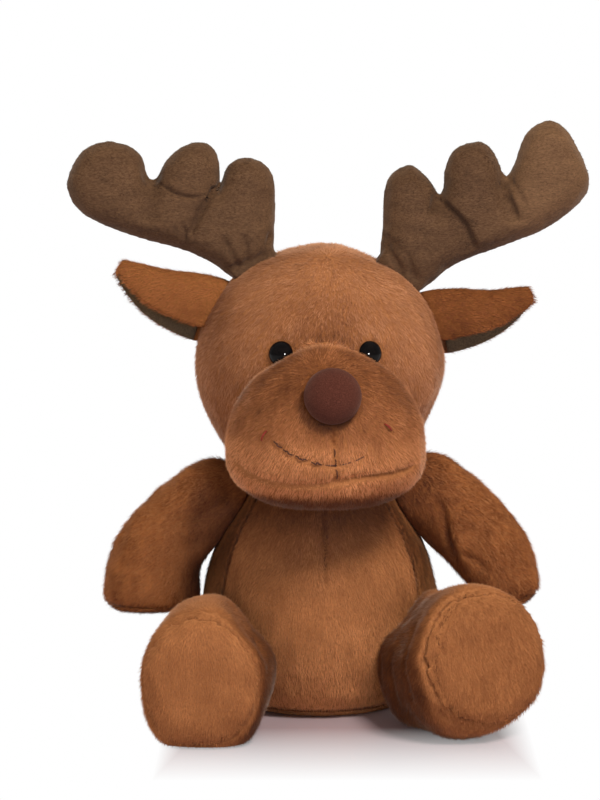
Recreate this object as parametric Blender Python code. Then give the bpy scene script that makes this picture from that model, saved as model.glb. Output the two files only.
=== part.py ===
"""Seated plush deer: stuffed body, head and limbs, safety eyes, ball nose, folded ears and stuffed antlers.

Metres, +Z up. The toy faces -Y and sits on its flat base panel at z = 0, and +X is the right-hand side as
seen from the front. The origin is the centre of the base panel's underside. Every stuffed form is a loft, a
turned ball or a pillow, and a smaller form is cut by the larger one that it is sewn to.
"""

import math

import bmesh
import bpy
from mathutils import Matrix, Vector
from mathutils.geometry import delaunay_2d_cdt

# Clearances: sewn seams, pieces that move, and the steps of a lift that a moving piece is relieved for
SEAM_GAP = 0.0003
RUNNING_GAP = 0.0006
SWEEP_SHARES = (0.0, 0.34, 0.67, 1.0)
CUT_OVERRUN = 0.012

# Smoothness of the forms
BODY_SIDES = 36
PANEL_SIDES = 12
HEAD_SIDES = 36
HEAD_RINGS = 15
LIMB_SIDES = 24
TAIL_SIDES = 12
TURNED_SIDES = 20
DOME_STEPS = 5
NOSE_STEPS = 9
BALL_LEVEL = 4
PATH_STEPS = 2
SHARP_ANGLE = math.radians(50)

# Body: a pear that narrows to a flat neck seam
BODY_HALF_WIDTH = 0.064
BODY_HALF_DEPTH = 0.057
NECK_HEIGHT = 0.1225
NECK_RADIUS = 0.0339
BODY_HEIGHT_SHARES = (0.0, 0.035, 0.1, 0.21, 0.33, 0.47, 0.58, 0.65, 0.745, 0.845, 0.93)
BODY_WIDTH_SHARES = (0.69, 0.82, 0.914, 0.984, 1.0, 0.972, 0.928, 0.888, 0.805, 0.695, 0.6)
BODY_DEPTH_SHARES = (0.7, 0.81, 0.91, 0.985, 1.0, 0.98, 0.94, 0.9, 0.82, 0.72, 0.65)

# Belly panel: the front gusset, a thin plush layer let into the body
PANEL_THICKNESS = 0.0018
PANEL_HALF_ANGLE = math.radians(60)
PANEL_EDGE_ANGLE = math.radians(0.4)

# Seat panel and the pellet bag behind it
SEAT_THICKNESS = 0.0025
SEAT_EDGE_SHARE = 0.97
BAG_HALF_WIDTH = 0.036
BAG_HALF_DEPTH = 0.032
BAG_HEIGHT = 0.022
BAG_HEIGHT_SHARES = (0.0, 0.2, 0.55, 0.85, 1.0)
BAG_RADIUS_SHARES = (0.92, 1.0, 0.93, 0.68, 0.3)

# Head: a ball cut flat at the neck seam and turned a little to the toy's left
HEAD_RADIUS = 0.0652
HEAD_CENTRE_HEIGHT = NECK_HEIGHT + SEAM_GAP + math.sqrt(HEAD_RADIUS**2 - NECK_RADIUS**2)
HEAD_TURN = math.radians(2.4)

# Muzzle: a bean that is widest low down, in front of and below the head's centre
MUZZLE_FORWARD = 0.062
MUZZLE_FALL = 0.0345
MUZZLE_HALF_WIDTH = 0.0502
MUZZLE_FRONT = 0.042
MUZZLE_BACK = 0.034
MUZZLE_TOP = 0.0537
MUZZLE_DROP = 0.0285
MUZZLE_FULLNESS = 2.5

# Nose: a ball with a ribbed shank and a locking washer, sunk into the muzzle's front
NOSE_RADIUS = 0.0143
NOSE_HALF_DEPTH = 0.0118
NOSE_SINK = 0.0072
NOSE_SIDE = 0.0018
NOSE_SEAT_ANGLE = math.radians(34.9)

# Eyes: black domes with the same kind of shank
EYE_RADIUS = 0.0063
EYE_DOME_HEIGHT = 0.0046
EYE_SPACING = 0.0455
EYE_RISE = 0.0147
EYE_SINK = 0.0012
EYE_FLANGE = 0.0012

# Shanks and washers, shared by eyes and nose
SHANK_RADIUS = 0.0021
SHANK_LENGTH = 0.0135
RIB_HEIGHT = 0.0004
RIB_PITCH = 0.0024
SKIN_THICKNESS = 0.002
WASHER_RADIUS = 0.0064
WASHER_THICKNESS = 0.0012
WASHER_COLLAR_RADIUS = 0.0038
WASHER_COLLAR_HEIGHT = 0.0018
NOSE_WASHER_RADIUS = 0.0095

# Ears: a leaf folded lengthwise over its top, with a smooth lining inside the fold
EAR_LENGTH = 0.052
EAR_ARCH_HEIGHT = 0.0125
EAR_FRONT_FLAP = 0.0065
EAR_BACK_FLAP = 0.0125
EAR_HALF_DEPTH = 0.0095
EAR_SAG = 0.0055
EAR_THICKNESS = 0.0034
LINING_THICKNESS = 0.0012
EAR_ROLL_RADIUS = 0.0062
EAR_ROLL_LENGTH = 0.015
EAR_SEAT_RADIUS = 0.0664
EAR_ARCH_STEPS = 8
EAR_LENGTH_SHARES = (0.06, 0.13, 0.24, 0.4, 0.58, 0.75, 0.89, 0.97)
EAR_HEIGHT_SHARES = (1.34, 1.38, 1.3, 1.14, 0.96, 0.75, 0.5, 0.32)
EAR_DEPTH_SHARES = (0.72, 0.86, 0.98, 1.0, 0.95, 0.8, 0.6, 0.45)
LINING_START_SHARE = 0.12
LINING_END_SHARE = 0.93
LINING_STEPS = 7
EAR_ANGLES = {"left": math.radians(151), "right": math.radians(21)}
EAR_TILTS = {"left": math.radians(25), "right": math.radians(17)}

# Antlers: flat stuffed shapes with three tines, drawn from the root roll as shares of the antler's reach
ANTLER_REACH = 0.1
ANTLER_HALF_THICKNESS = 0.0098
ANTLER_SOFT_EDGE = 0.0115
ANTLER_SPACING = 0.0045
ANTLER_ROLL_RADIUS = 0.0078
ANTLER_SEAT_RADIUS = 0.066
ANTLER_SEAT_ANGLES = {"left": math.radians(123), "right": math.radians(49.5)}
ANTLER_ROLL_LENGTHS = {"left": 0.0235, "right": 0.0255}
ANTLER_LEAN = math.radians(3)
ANTLER_OUTLINE_SHARES = {
    "left": (
        (0.1, 0.02), (0.12, 0.2), (0.115, 0.43), (0.055, 0.515), (-0.04, 0.535), (-0.115, 0.5),
        (-0.175, 0.39), (-0.17, 0.52), (-0.245, 0.61), (-0.335, 0.605), (-0.43, 0.55), (-0.52, 0.44),
        (-0.59, 0.57), (-0.69, 0.62), (-0.79, 0.62), (-0.885, 0.57), (-0.94, 0.47), (-0.955, 0.37),
        (-0.875, 0.26), (-0.625, 0.15), (-0.32, 0.06), (-0.16, -0.035), (-0.1, -0.08), (0.0, -0.03),
    ),
    "right": (
        (-0.11, 0.05), (-0.1, 0.23), (-0.1, 0.38), (-0.08, 0.48), (-0.025, 0.54), (0.045, 0.545),
        (0.115, 0.48), (0.185, 0.395), (0.215, 0.43), (0.22, 0.52), (0.275, 0.625), (0.37, 0.675),
        (0.44, 0.67), (0.5, 0.58), (0.54, 0.485), (0.61, 0.585), (0.665, 0.72), (0.775, 0.78),
        (0.88, 0.71), (0.965, 0.48), (0.92, 0.35), (0.74, 0.235), (0.56, 0.15), (0.385, 0.09),
        (0.23, 0.005), (0.1, -0.1), (0.0, -0.03),
    ),
}

# Arms: from the shoulder seam out and down to a flat paw gusset. The hinge lies on the top of the seam
SHOULDER_INSET = 0.03
SHOULDER_HALF_SPACING = BODY_HALF_WIDTH - SHOULDER_INSET
SHOULDER_FALLS = {"left": 0.014, "right": 0.013}
ARM_REACHES = {"left": 0.0545, "right": 0.0645}
ARM_FORWARDS = {"left": 0.004, "right": 0.006}
ARM_DROPS = {"left": 0.0545, "right": 0.0545}
ARM_RADII = {"left": 0.0258, "right": 0.0218}
ARM_DEPTH_SHARE = 0.86
ARM_LINE_SHARES = {
    "left": (
        (0.0, 0.0, -0.06), (0.2, 0.05, 0.0), (0.47, 0.2, 0.06), (0.8, 0.55, 0.38), (0.97, 0.85, 0.76),
        (1.0, 1.0, 1.0),
    ),
    "right": (
        (0.0, 0.0, -0.06), (0.25, 0.05, 0.02), (0.55, 0.2, 0.16), (0.77, 0.55, 0.47), (0.9, 0.8, 0.7),
        (1.0, 1.0, 1.0),
    ),
}
ARM_RADIUS_SHARES = {
    "left": (0.56, 0.68, 0.82, 0.93, 1.0, 0.94),
    "right": (0.62, 0.82, 0.99, 1.0, 0.97, 0.9),
}
SHOULDER_HINGE_STEP = 0.0005
SHOULDER_LIFT = math.radians(30)
PAW_PAD_THICKNESS = 0.0035
PAD_RIM_SHARE = 0.97

# Legs: from the hip seam forward to a round sole, lying flat on the ground. The hinge lies on the top of the seam
HIP_HALF_SPACINGS = {"left": 0.047, "right": 0.041}
HIP_FORWARD = 0.018
LEG_REACHES = {"left": 0.0125, "right": 0.043}
LEG_FORWARDS = {"left": 0.0875, "right": 0.0745}
LEG_RISES = {"left": 0.0, "right": 0.0065}
LEG_RADII = {"left": 0.0362, "right": 0.0375}
LEG_FLAT = 0.0005
LEG_WIDTH_SHARE = 0.93
LEG_LINE_SHARES = ((0.0, 0.0, 0.0), (0.3, 0.3, 0.0), (0.62, 0.62, 0.06), (0.86, 0.86, 0.6), (1.0, 1.0, 1.0))
LEG_RADIUS_SHARES = (0.66, 0.86, 0.98, 1.0, 0.93)
HIP_HINGE_FORWARD = 0.042
HIP_HINGE_HEIGHT = 0.062
HIP_LIFT = math.radians(30)
SOLE_THICKNESS = 0.006
PAD_SPACING = 0.0085

# Tail: a short stuffed leaf at the back
TAIL_LENGTH = 0.034
TAIL_WIDTH = 0.012
TAIL_HEIGHT = 0.03
TAIL_RISE = 0.022
TAIL_LINE_SHARES = ((0.0, 0.0), (0.35, 0.18), (0.7, 0.55), (1.0, 1.0))
TAIL_RADIUS_SHARES = (0.85, 1.0, 0.82, 0.3)
TAIL_DEPTH_SHARE = 0.7

# Colours, as the sRGB values of plush, linings and plastic in plain light
PLUSH_BROWN = (158, 98, 56)
PANEL_BROWN = (152, 94, 56)
MUZZLE_BROWN = (146, 88, 47)
ANTLER_BROWN = (106, 74, 48)
LINING_BROWN = (88, 68, 48)
BAG_CREAM = (214, 204, 184)
EYE_BLACK = (12, 11, 12)
NOSE_BROWN = (75, 38, 28)
WASHER_WHITE = (225, 225, 220)
PLUSH_ROUGHNESS = 0.95
SHORT_PILE_ROUGHNESS = 0.9
BAG_ROUGHNESS = 0.85
FLOCK_ROUGHNESS = 0.8
WASHER_ROUGHNESS = 0.4
EYE_ROUGHNESS = 0.08

# Image left and right
SIDES = {"left": -1, "right": 1}


def linear(colour):
    """The linear values of an 8-bit sRGB colour."""
    shares = (channel / 255 for channel in colour)
    return tuple(share / 12.92 if share <= 0.04045 else ((share + 0.055) / 1.055) ** 2.4 for share in shares)


def make_material(name, colour, roughness):
    material = bpy.data.materials.new(name)
    material.use_nodes = True
    shader = material.node_tree.nodes["Principled BSDF"]
    shader.inputs["Base Color"].default_value = (*linear(colour), 1)
    shader.inputs["Roughness"].default_value = roughness
    shader.inputs["Metallic"].default_value = 0
    material.diffuse_color = (*linear(colour), 1)
    return material


def make_pivot(name, place, parent=None, turn=0.0):
    """An empty on a joint's axis. The pieces that move with the joint hang from it."""
    pivot = bpy.data.objects.new(name, None)
    bpy.context.scene.collection.objects.link(pivot)
    pivot.parent = parent
    pivot.location = Vector(place) - (toy_place(parent) if parent else Vector())
    pivot.rotation_euler.z = turn
    pivot["toy_place"] = tuple(place)
    return pivot


def toy_place(pivot):
    return Vector(pivot["toy_place"]) if pivot else Vector()


def make_piece(name, bm, material=None, pivot=None):
    """One object from a mesh drawn in the toy's frame, hung from its joint's pivot."""
    bmesh.ops.translate(bm, verts=bm.verts, vec=-toy_place(pivot))
    bmesh.ops.recalc_face_normals(bm, faces=bm.faces)
    mesh = bpy.data.meshes.new(name)
    bm.to_mesh(mesh)
    bm.free()
    mesh.shade_smooth()
    mesh.set_sharp_from_angle(angle=SHARP_ANGLE)
    piece = bpy.data.objects.new(name, mesh)
    bpy.context.scene.collection.objects.link(piece)
    piece.parent = pivot
    if material:
        mesh.materials.append(material)
    return piece


def make_cutter(name, bm, pivot=None):
    cutter = make_piece(name, bm, pivot=pivot)
    cutter.hide_render = True
    cutter.display_type = "WIRE"
    return cutter


def boolean(piece, other, operation="DIFFERENCE"):
    modifier = piece.modifiers.new(other.name, "BOOLEAN")
    modifier.object = other
    modifier.operation = operation
    modifier.solver = "EXACT"


def spline(before, start, end, after, share):
    """A Catmull-Rom value between start and end."""
    bend = 2 * before - 5 * start + 4 * end - after
    twist = -before + 3 * start - 3 * end + after
    return start + (end - before + (bend + twist * share) * share) * share / 2


def smooth_rows(rows, steps, closed=False):
    """Rows on a smooth curve through the given ones, with steps rows for each span."""
    count = len(rows)
    spans = count if closed else count - 1

    def row(index):
        return rows[index % count] if closed else rows[min(max(index, 0), count - 1)]

    smooth = []
    for index in range(spans):
        ends = [row(index + shift) for shift in (-1, 0, 1, 2)]
        for step in range(steps):
            smooth.append(tuple(spline(*values, step / steps) for values in zip(*ends)))
    if not closed:
        smooth.append(tuple(rows[-1]))
    return smooth


def loft(rings):
    """A closed body through rings with the same number of points, with a flat face on each end."""
    bm = bmesh.new()
    loops = [[bm.verts.new(point) for point in ring] for ring in rings]
    for lower, upper in zip(loops, loops[1:]):
        for index in range(len(lower)):
            after = (index + 1) % len(lower)
            bm.faces.new((lower[index], lower[after], upper[after], upper[index]))
    bm.faces.new(reversed(loops[0]))
    bm.faces.new(loops[-1])
    return bm


def oval_ring(centre, across, along, sides):
    """Points round an oval whose half-axes are the vectors across and along."""
    turns = (2 * math.pi * index / sides for index in range(sides))
    return [centre + across * math.cos(turn) + along * math.sin(turn) for turn in turns]


def turned(profile, sides=TURNED_SIDES, ring=False):
    """A body turned about Z from (radius, height) points: from pole to pole, or a ring's closed outline."""
    bm = bmesh.new()
    loops = []
    for radius, height in profile:
        if radius == 0:
            loops.append([bm.verts.new((0, 0, height))] * sides)
        else:
            turns = (2 * math.pi * index / sides for index in range(sides))
            loops.append([bm.verts.new((radius * math.cos(a), radius * math.sin(a), height)) for a in turns])
    pairs = list(zip(loops, loops[1:]))
    if ring:
        pairs.append((loops[-1], loops[0]))
    for lower, upper in pairs:
        for index in range(sides):
            after = (index + 1) % sides
            corners = (lower[index], lower[after], upper[after], upper[index])
            bm.faces.new(dict.fromkeys(corners))
    return bm


def arc(radius, height, start, end, steps):
    """(radius, height) points of an elliptical arc, with angles measured from the equator."""
    angles = (start + (end - start) * step / steps for step in range(steps + 1))
    return [(radius * math.cos(angle), height * math.sin(angle)) for angle in angles]


def nearest_edge(point, outline):
    """Distance from a point to a closed outline."""
    least = math.inf
    for start, end in zip(outline, outline[1:] + outline[:1]):
        span = end - start
        share = min(max((point - start).dot(span) / span.length_squared, 0), 1)
        least = min(least, (point - start - span * share).length)
    return least


def inside(point, outline):
    crossings = 0
    for start, end in zip(outline, outline[1:] + outline[:1]):
        if (start.y > point.y) != (end.y > point.y):
            crossings += point.x < start.x + (end.x - start.x) * (point.y - start.y) / (end.y - start.y)
    return crossings % 2 == 1


def pillow(outline, half_thickness, soft_edge, spacing, flat_back=False):
    """A stuffed flat shape in XY: two skins that meet at the outline and swell over the soft edge."""
    outline = [Vector(point) for point in outline]
    points = list(outline)
    lows = [min(point[axis] for point in outline) for axis in (0, 1)]
    highs = [max(point[axis] for point in outline) for axis in (0, 1)]
    row_height = spacing * math.sin(math.pi / 3)
    rows = int((highs[1] - lows[1]) / row_height) + 1
    columns = int((highs[0] - lows[0]) / spacing) + 2
    for row in range(rows):
        shift = spacing / 2 if row % 2 else 0
        for column in range(columns):
            point = Vector((lows[0] + shift + column * spacing, lows[1] + row * row_height))
            if inside(point, outline) and nearest_edge(point, outline) > spacing / 3:
                points.append(point)
    loop = list(range(len(outline)))
    flat, _, faces, _, _, _ = delaunay_2d_cdt(points, [], [loop], 1, spacing / 1000)
    bm = bmesh.new()
    front, back = [], []
    for point in flat:
        depth = nearest_edge(point, outline)
        rise = half_thickness * math.sqrt(max(1 - (1 - min(depth / soft_edge, 1)) ** 2, 0))
        on_edge = depth < spacing / 50
        front.append(bm.verts.new((point.x, point.y, 0 if on_edge else rise)))
        fall = 0 if flat_back else -rise
        back.append(front[-1] if on_edge else bm.verts.new((point.x, point.y, fall)))
    for face in faces:
        bm.faces.new([front[index] for index in face])
        bm.faces.new([back[index] for index in reversed(face)])
    bmesh.ops.remove_doubles(bm, verts=bm.verts, dist=spacing / 1000)
    return bm


def frame_matrix(place, x_axis, y_axis):
    """The matrix that puts a local drawing's X and Y along the given directions, at a place."""
    x_axis = Vector(x_axis).normalized()
    z_axis = x_axis.cross(Vector(y_axis)).normalized()
    y_axis = z_axis.cross(x_axis)
    rotation = Matrix((x_axis, y_axis, z_axis)).transposed().to_4x4()
    return Matrix.Translation(place) @ rotation


def moved(bm, matrix):
    bmesh.ops.transform(bm, matrix=matrix, verts=bm.verts)
    return bm


# Body

def body_rows(grow=0.0):
    """(height, half-width, half-depth) up the body, from the seat panel to the neck seam."""
    base = SEAT_THICKNESS + SEAM_GAP
    rise = NECK_HEIGHT - base
    rows = []
    for height, width, depth in zip(BODY_HEIGHT_SHARES, BODY_WIDTH_SHARES, BODY_DEPTH_SHARES):
        rows.append((base + rise * height, BODY_HALF_WIDTH * width + grow, BODY_HALF_DEPTH * depth + grow))
    rows.append((NECK_HEIGHT, NECK_RADIUS + grow, NECK_RADIUS + grow))
    return rows


def body_ring(height, half_width, half_depth, turns):
    """Points round the body, where a turn of zero is the middle of the front."""
    return [
        Vector((half_width * math.sin(turn), -half_depth * math.cos(turn), height)) for turn in turns
    ]


def body_loft():
    """The body with the shallow step that the belly panel is sewn into."""
    step = PANEL_THICKNESS + SEAM_GAP
    edge = PANEL_HALF_ANGLE + PANEL_EDGE_ANGLE
    front = [edge * (2 * index / PANEL_SIDES - 1) for index in range(PANEL_SIDES + 1)]
    back_sides = BODY_SIDES - PANEL_SIDES
    back = [edge + 2 * (math.pi - edge) * index / back_sides for index in range(back_sides + 1)]
    rings = []
    for height, half_width, half_depth in body_rows():
        inner = body_ring(height, half_width - step, half_depth - step, front)
        rings.append(inner + body_ring(height, half_width, half_depth, back))
    return loft(rings)


def body_clearance(grow):
    """The body's plain outer shape, grown, for cutting what is sewn to it."""
    turns = [2 * math.pi * index / BODY_SIDES for index in range(BODY_SIDES)]
    rows = body_rows(grow)
    rows[0] = (-CUT_OVERRUN, *rows[0][1:])
    return loft([body_ring(*row, turns) for row in rows])


def belly_panel_loft():
    turns = [PANEL_HALF_ANGLE * (2 * index / PANEL_SIDES - 1) for index in range(PANEL_SIDES + 1)]
    rings = []
    for height, half_width, half_depth in body_rows():
        outer = body_ring(height, half_width, half_depth, turns)
        inner = body_ring(height, half_width - PANEL_THICKNESS, half_depth - PANEL_THICKNESS, turns)
        rings.append(outer + inner[::-1])
    return loft(rings)


def seat_panel_loft():
    """The flat base, as wide as the body's lowest ring above and drawn in a little at its underside."""
    half_width = BODY_HALF_WIDTH * BODY_WIDTH_SHARES[0]
    half_depth = BODY_HALF_DEPTH * BODY_DEPTH_SHARES[0]
    rings = []
    for height, share in ((0, SEAT_EDGE_SHARE), (SEAT_THICKNESS, 1)):
        across = Vector((half_width * share, 0, 0))
        along = Vector((0, half_depth * share, 0))
        rings.append(oval_ring(Vector((0, 0, height)), across, along, BODY_SIDES))
    return loft(rings)


def pellet_bag_loft(grow=0.0):
    """The flattened bag of pellets on the seat panel. Grown, it is the pocket that the bag sits in."""
    base = SEAT_THICKNESS + SEAM_GAP
    rings = []
    for height_share, radius_share in smooth_rows(list(zip(BAG_HEIGHT_SHARES, BAG_RADIUS_SHARES)), PATH_STEPS):
        across = Vector((BAG_HALF_WIDTH * radius_share + grow, 0, 0))
        along = Vector((0, BAG_HALF_DEPTH * radius_share + grow, 0))
        height = base + BAG_HEIGHT * height_share + (grow if height_share else 0)
        rings.append(oval_ring(Vector((0, 0, height)), across, along, LIMB_SIDES))
    if grow:
        drop = Vector((0, 0, -CUT_OVERRUN))
        rings.insert(0, [point + drop for point in rings[0]])
    return loft(rings)


def tail_loft():
    rings = []
    rows = [(*line, radius) for line, radius in zip(TAIL_LINE_SHARES, TAIL_RADIUS_SHARES)]
    base = Vector((0, BODY_HALF_DEPTH, TAIL_HEIGHT)) - Vector((0, TAIL_WIDTH, 0))
    path = smooth_rows(rows, PATH_STEPS)
    for index, (back, rise, radius) in enumerate(path):
        before, after = path[max(index - 1, 0)], path[min(index + 1, len(path) - 1)]
        tangent = Vector((0, (after[0] - before[0]) * TAIL_LENGTH, (after[1] - before[1]) * TAIL_RISE)).normalized()
        centre = base + Vector((0, back * TAIL_LENGTH, rise * TAIL_RISE))
        across = Vector((TAIL_WIDTH * radius, 0, 0))
        along = tangent.cross(Vector((1, 0, 0))) * (TAIL_WIDTH * TAIL_DEPTH_SHARE * radius)
        rings.append(oval_ring(centre, across, along, TAIL_SIDES))
    return loft(rings)


# Head

def head_ball(grow=0.0):
    """The head's ball, cut flat just above the neck seam."""
    radius = HEAD_RADIUS + grow
    floor = NECK_HEIGHT + SEAM_GAP - HEAD_CENTRE_HEIGHT - grow
    start = math.asin(floor / radius)
    profile = [(0, floor), *arc(radius, radius, start, math.pi / 2, HEAD_RINGS)]
    profile[-1] = (0, radius)
    return moved(turned(profile, HEAD_SIDES), Matrix.Translation((0, 0, HEAD_CENTRE_HEIGHT)))


def muzzle_ball():
    """A ball with its own half-axis each way, and a fuller lower half."""
    bm = bmesh.new()
    bmesh.ops.create_icosphere(bm, subdivisions=BALL_LEVEL, radius=1)
    for vert in bm.verts:
        x, y, z = vert.co
        level = math.hypot(x, y)
        full = 1.0
        if z < 0 and level > 0:
            full = max(1 - abs(z) ** MUZZLE_FULLNESS, 0) ** (1 / MUZZLE_FULLNESS) / level
        vert.co.x = x * full * MUZZLE_HALF_WIDTH
        vert.co.y = y * full * (MUZZLE_FRONT if y < 0 else MUZZLE_BACK) - MUZZLE_FORWARD
        vert.co.z = z * (MUZZLE_TOP if z > 0 else MUZZLE_DROP) + HEAD_CENTRE_HEIGHT - MUZZLE_FALL
    return bm


def shank_profile(start):
    """Outline of a ribbed shank, from its root down to its end."""
    points = [(SHANK_RADIUS, start)]
    ribs = int((SHANK_LENGTH + start - SKIN_THICKNESS) / RIB_PITCH)
    for rib in range(ribs):
        height = start - SKIN_THICKNESS - rib * RIB_PITCH
        points.append((SHANK_RADIUS, height))
        points.append((SHANK_RADIUS + RIB_HEIGHT, height - RIB_PITCH / 2))
    points.append((SHANK_RADIUS, -SHANK_LENGTH))
    points.append((0, -SHANK_LENGTH))
    return points


def washer_profile(bore, radius, face):
    """Closed outline of a locking washer whose flat side is at the height face."""
    back = face - WASHER_THICKNESS
    collar = back - WASHER_COLLAR_HEIGHT
    return [
        (bore, face), (radius, face), (radius, back),
        (WASHER_COLLAR_RADIUS, back), (WASHER_COLLAR_RADIUS, collar), (bore, collar),
    ]


def pocket_profile(mouth, floor, washer_radius):
    """Outline of the stepped pocket behind the skin: flange seat, shank hole, washer room and shank end."""
    hole = SHANK_RADIUS + RIB_HEIGHT + SEAM_GAP
    room = washer_radius + SEAM_GAP
    skin_back = floor - SKIN_THICKNESS
    room_back = skin_back - 3 * SEAM_GAP - WASHER_THICKNESS - WASHER_COLLAR_HEIGHT
    return [
        (0, CUT_OVERRUN), (mouth, CUT_OVERRUN), (mouth, floor), (hole, floor), (hole, skin_back),
        (room, skin_back), (room, room_back), (hole, room_back),
        (hole, -SHANK_LENGTH - SEAM_GAP), (0, -SHANK_LENGTH - SEAM_GAP),
    ]


def eye_matrix(side):
    """Eye frame: Z points out of the head at the flange's plane."""
    across = side * EYE_SPACING / 2
    forward = math.sqrt(HEAD_RADIUS**2 - across**2 - EYE_RISE**2)
    normal = Vector((across, -forward, EYE_RISE)).normalized()
    place = Vector((0, 0, HEAD_CENTRE_HEIGHT)) + normal * (HEAD_RADIUS - EYE_SINK)
    sideways = Vector((0, 0, 1)).cross(normal)
    return frame_matrix(place, sideways, normal.cross(sideways))


def nose_matrix():
    """Nose frame: Z points out of the muzzle's upper front at the ball's centre."""
    forward, rise = math.cos(NOSE_SEAT_ANGLE), math.sin(NOSE_SEAT_ANGLE)
    outward = Vector((0, -forward / MUZZLE_FRONT, rise / MUZZLE_TOP)).normalized()
    middle = Vector((NOSE_SIDE, -MUZZLE_FORWARD, HEAD_CENTRE_HEIGHT - MUZZLE_FALL))
    seat = middle + Vector((0, -forward * MUZZLE_FRONT, rise * MUZZLE_TOP))
    sideways = Vector((1, 0, 0))
    return frame_matrix(seat + outward * (NOSE_HALF_DEPTH - NOSE_SINK), sideways, outward.cross(sideways))


def eye_profile():
    dome = arc(EYE_RADIUS, EYE_DOME_HEIGHT, math.pi / 2, 0, DOME_STEPS)
    dome[0] = (0, EYE_DOME_HEIGHT)
    return [*dome, (EYE_RADIUS - EYE_FLANGE, -EYE_FLANGE), *shank_profile(-EYE_FLANGE)]


def nose_profile():
    """The ball down to where the shank leaves its back."""
    end = -math.acos(SHANK_RADIUS / NOSE_RADIUS)
    ball = arc(NOSE_RADIUS, NOSE_HALF_DEPTH, math.pi / 2, end, NOSE_STEPS)
    ball[0] = (0, NOSE_HALF_DEPTH)
    drop = ball[-1][1]
    shank = [(radius, height + drop) for radius, height in shank_profile(0)[1:]]
    return ball + shank


def nose_pocket_profile():
    """The ball's own seat, then the stepped pocket behind it."""
    grown = (NOSE_RADIUS + SEAM_GAP, NOSE_HALF_DEPTH + SEAM_GAP)
    stepped = pocket_profile(0, 0, NOSE_WASHER_RADIUS)[3:]
    end = -math.acos(stepped[0][0] / grown[0])
    ball = arc(*grown, math.pi / 2, end, NOSE_STEPS)
    ball[0] = (0, grown[1])
    return ball + [(radius, height - NOSE_HALF_DEPTH) for radius, height in stepped[1:]]


def build_face(pivot, materials):
    """The head, muzzle, eyes and nose with their washers."""
    head = make_piece("head", head_ball(), materials["plush"], pivot)
    muzzle = make_piece("muzzle", muzzle_ball(), materials["muzzle"], pivot)
    boolean(muzzle, make_cutter("head_clearance", head_ball(SEAM_GAP), pivot))
    bore = SHANK_RADIUS + RIB_HEIGHT + SEAM_GAP
    for name, side in SIDES.items():
        matrix = eye_matrix(side)
        make_piece(f"eye_{name}", moved(turned(eye_profile()), matrix), materials["eye"], pivot)
        face = -EYE_FLANGE - 2 * SEAM_GAP - SKIN_THICKNESS
        washer = turned(washer_profile(bore, WASHER_RADIUS, face), ring=True)
        make_piece(f"eye_washer_{name}", moved(washer, matrix), materials["washer"], pivot)
        pocket = pocket_profile(EYE_RADIUS + SEAM_GAP, -EYE_FLANGE - SEAM_GAP, WASHER_RADIUS)
        cutter = make_cutter(f"eye_pocket_{name}", moved(turned(pocket), matrix), pivot)
        boolean(head, cutter)
        boolean(muzzle, cutter)
    matrix = nose_matrix()
    make_piece("nose", moved(turned(nose_profile()), matrix), materials["nose"], pivot)
    face = -NOSE_HALF_DEPTH - 2 * SEAM_GAP - SKIN_THICKNESS
    washer = turned(washer_profile(bore, NOSE_WASHER_RADIUS, face), ring=True)
    make_piece("nose_washer", moved(washer, matrix), materials["washer"], pivot)
    cutter = make_cutter("nose_pocket", moved(turned(nose_pocket_profile()), matrix), pivot)
    boolean(muzzle, cutter)
    return head


# Ears and antlers

def on_head(angle, radius):
    """A place over the head's centre plane, at an angle from the toy's +X."""
    return Vector((radius * math.cos(angle), 0, HEAD_CENTRE_HEIGHT + radius * math.sin(angle)))


def roll(radius, length, matrix, grow=0.0):
    """The rounded root of a sewn-on piece, lying along the local X axis. Grown, it is the groove it rests in."""
    ends = ((-length / 2 - grow, radius + grow), (length / 2 + grow, radius + grow))
    rings = []
    for along, size in ends:
        centre = Vector((along, 0, 0))
        rings.append(oval_ring(centre, Vector((0, size, 0)), Vector((0, 0, size)), TURNED_SIDES))
    return moved(loft(rings), matrix)


def between(rows, place):
    """Values of hand-chosen rows at a place, where each row starts with its own place."""
    lower = max((row for row in rows if row[0] <= place), key=lambda row: row[0])
    upper = min((row for row in rows if row[0] >= place), key=lambda row: row[0])
    share = (place - lower[0]) / (upper[0] - lower[0]) if upper[0] > lower[0] else 0
    return [low + (high - low) * share for low, high in zip(lower[1:], upper[1:])]


def arch_points(half_depth, arch, front_flap, back_flap):
    """(depth, height) points over a fold: up the front flap, over the arch and down the back flap."""
    turns = (math.pi * step / EAR_ARCH_STEPS for step in range(EAR_ARCH_STEPS + 1))
    over = [(-half_depth * math.cos(turn), arch * math.sin(turn)) for turn in turns]
    return [(-half_depth, -front_flap), *over, (half_depth, -back_flap)]


def flap_ring(length_share, outer_skin, inner_skin):
    """One cross-section of the folded ear between two depths below its outer surface, open below."""
    rows = list(zip(EAR_LENGTH_SHARES, EAR_HEIGHT_SHARES, EAR_DEPTH_SHARES))
    height_share, depth_share = between(rows, length_share)
    sag = 4 * EAR_SAG * length_share * (1 - length_share)
    front, back = EAR_FRONT_FLAP * height_share, EAR_BACK_FLAP * height_share
    points = []
    for skin, order in ((outer_skin, 1), (inner_skin, -1)):
        half_depth = EAR_HALF_DEPTH * depth_share - skin(depth_share)
        arch = EAR_ARCH_HEIGHT * height_share - skin(depth_share)
        points += arch_points(half_depth, arch, front, back)[::order]
    return [Vector((length_share * EAR_LENGTH, depth, height - sag)) for depth, height in points]


def ear_outside(depth_share):
    return 0.0


def ear_inside(depth_share):
    return EAR_THICKNESS * depth_share


def lining_outside(depth_share):
    return ear_inside(depth_share) + SEAM_GAP


def lining_inside(depth_share):
    return lining_outside(depth_share) + LINING_THICKNESS * depth_share


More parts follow.
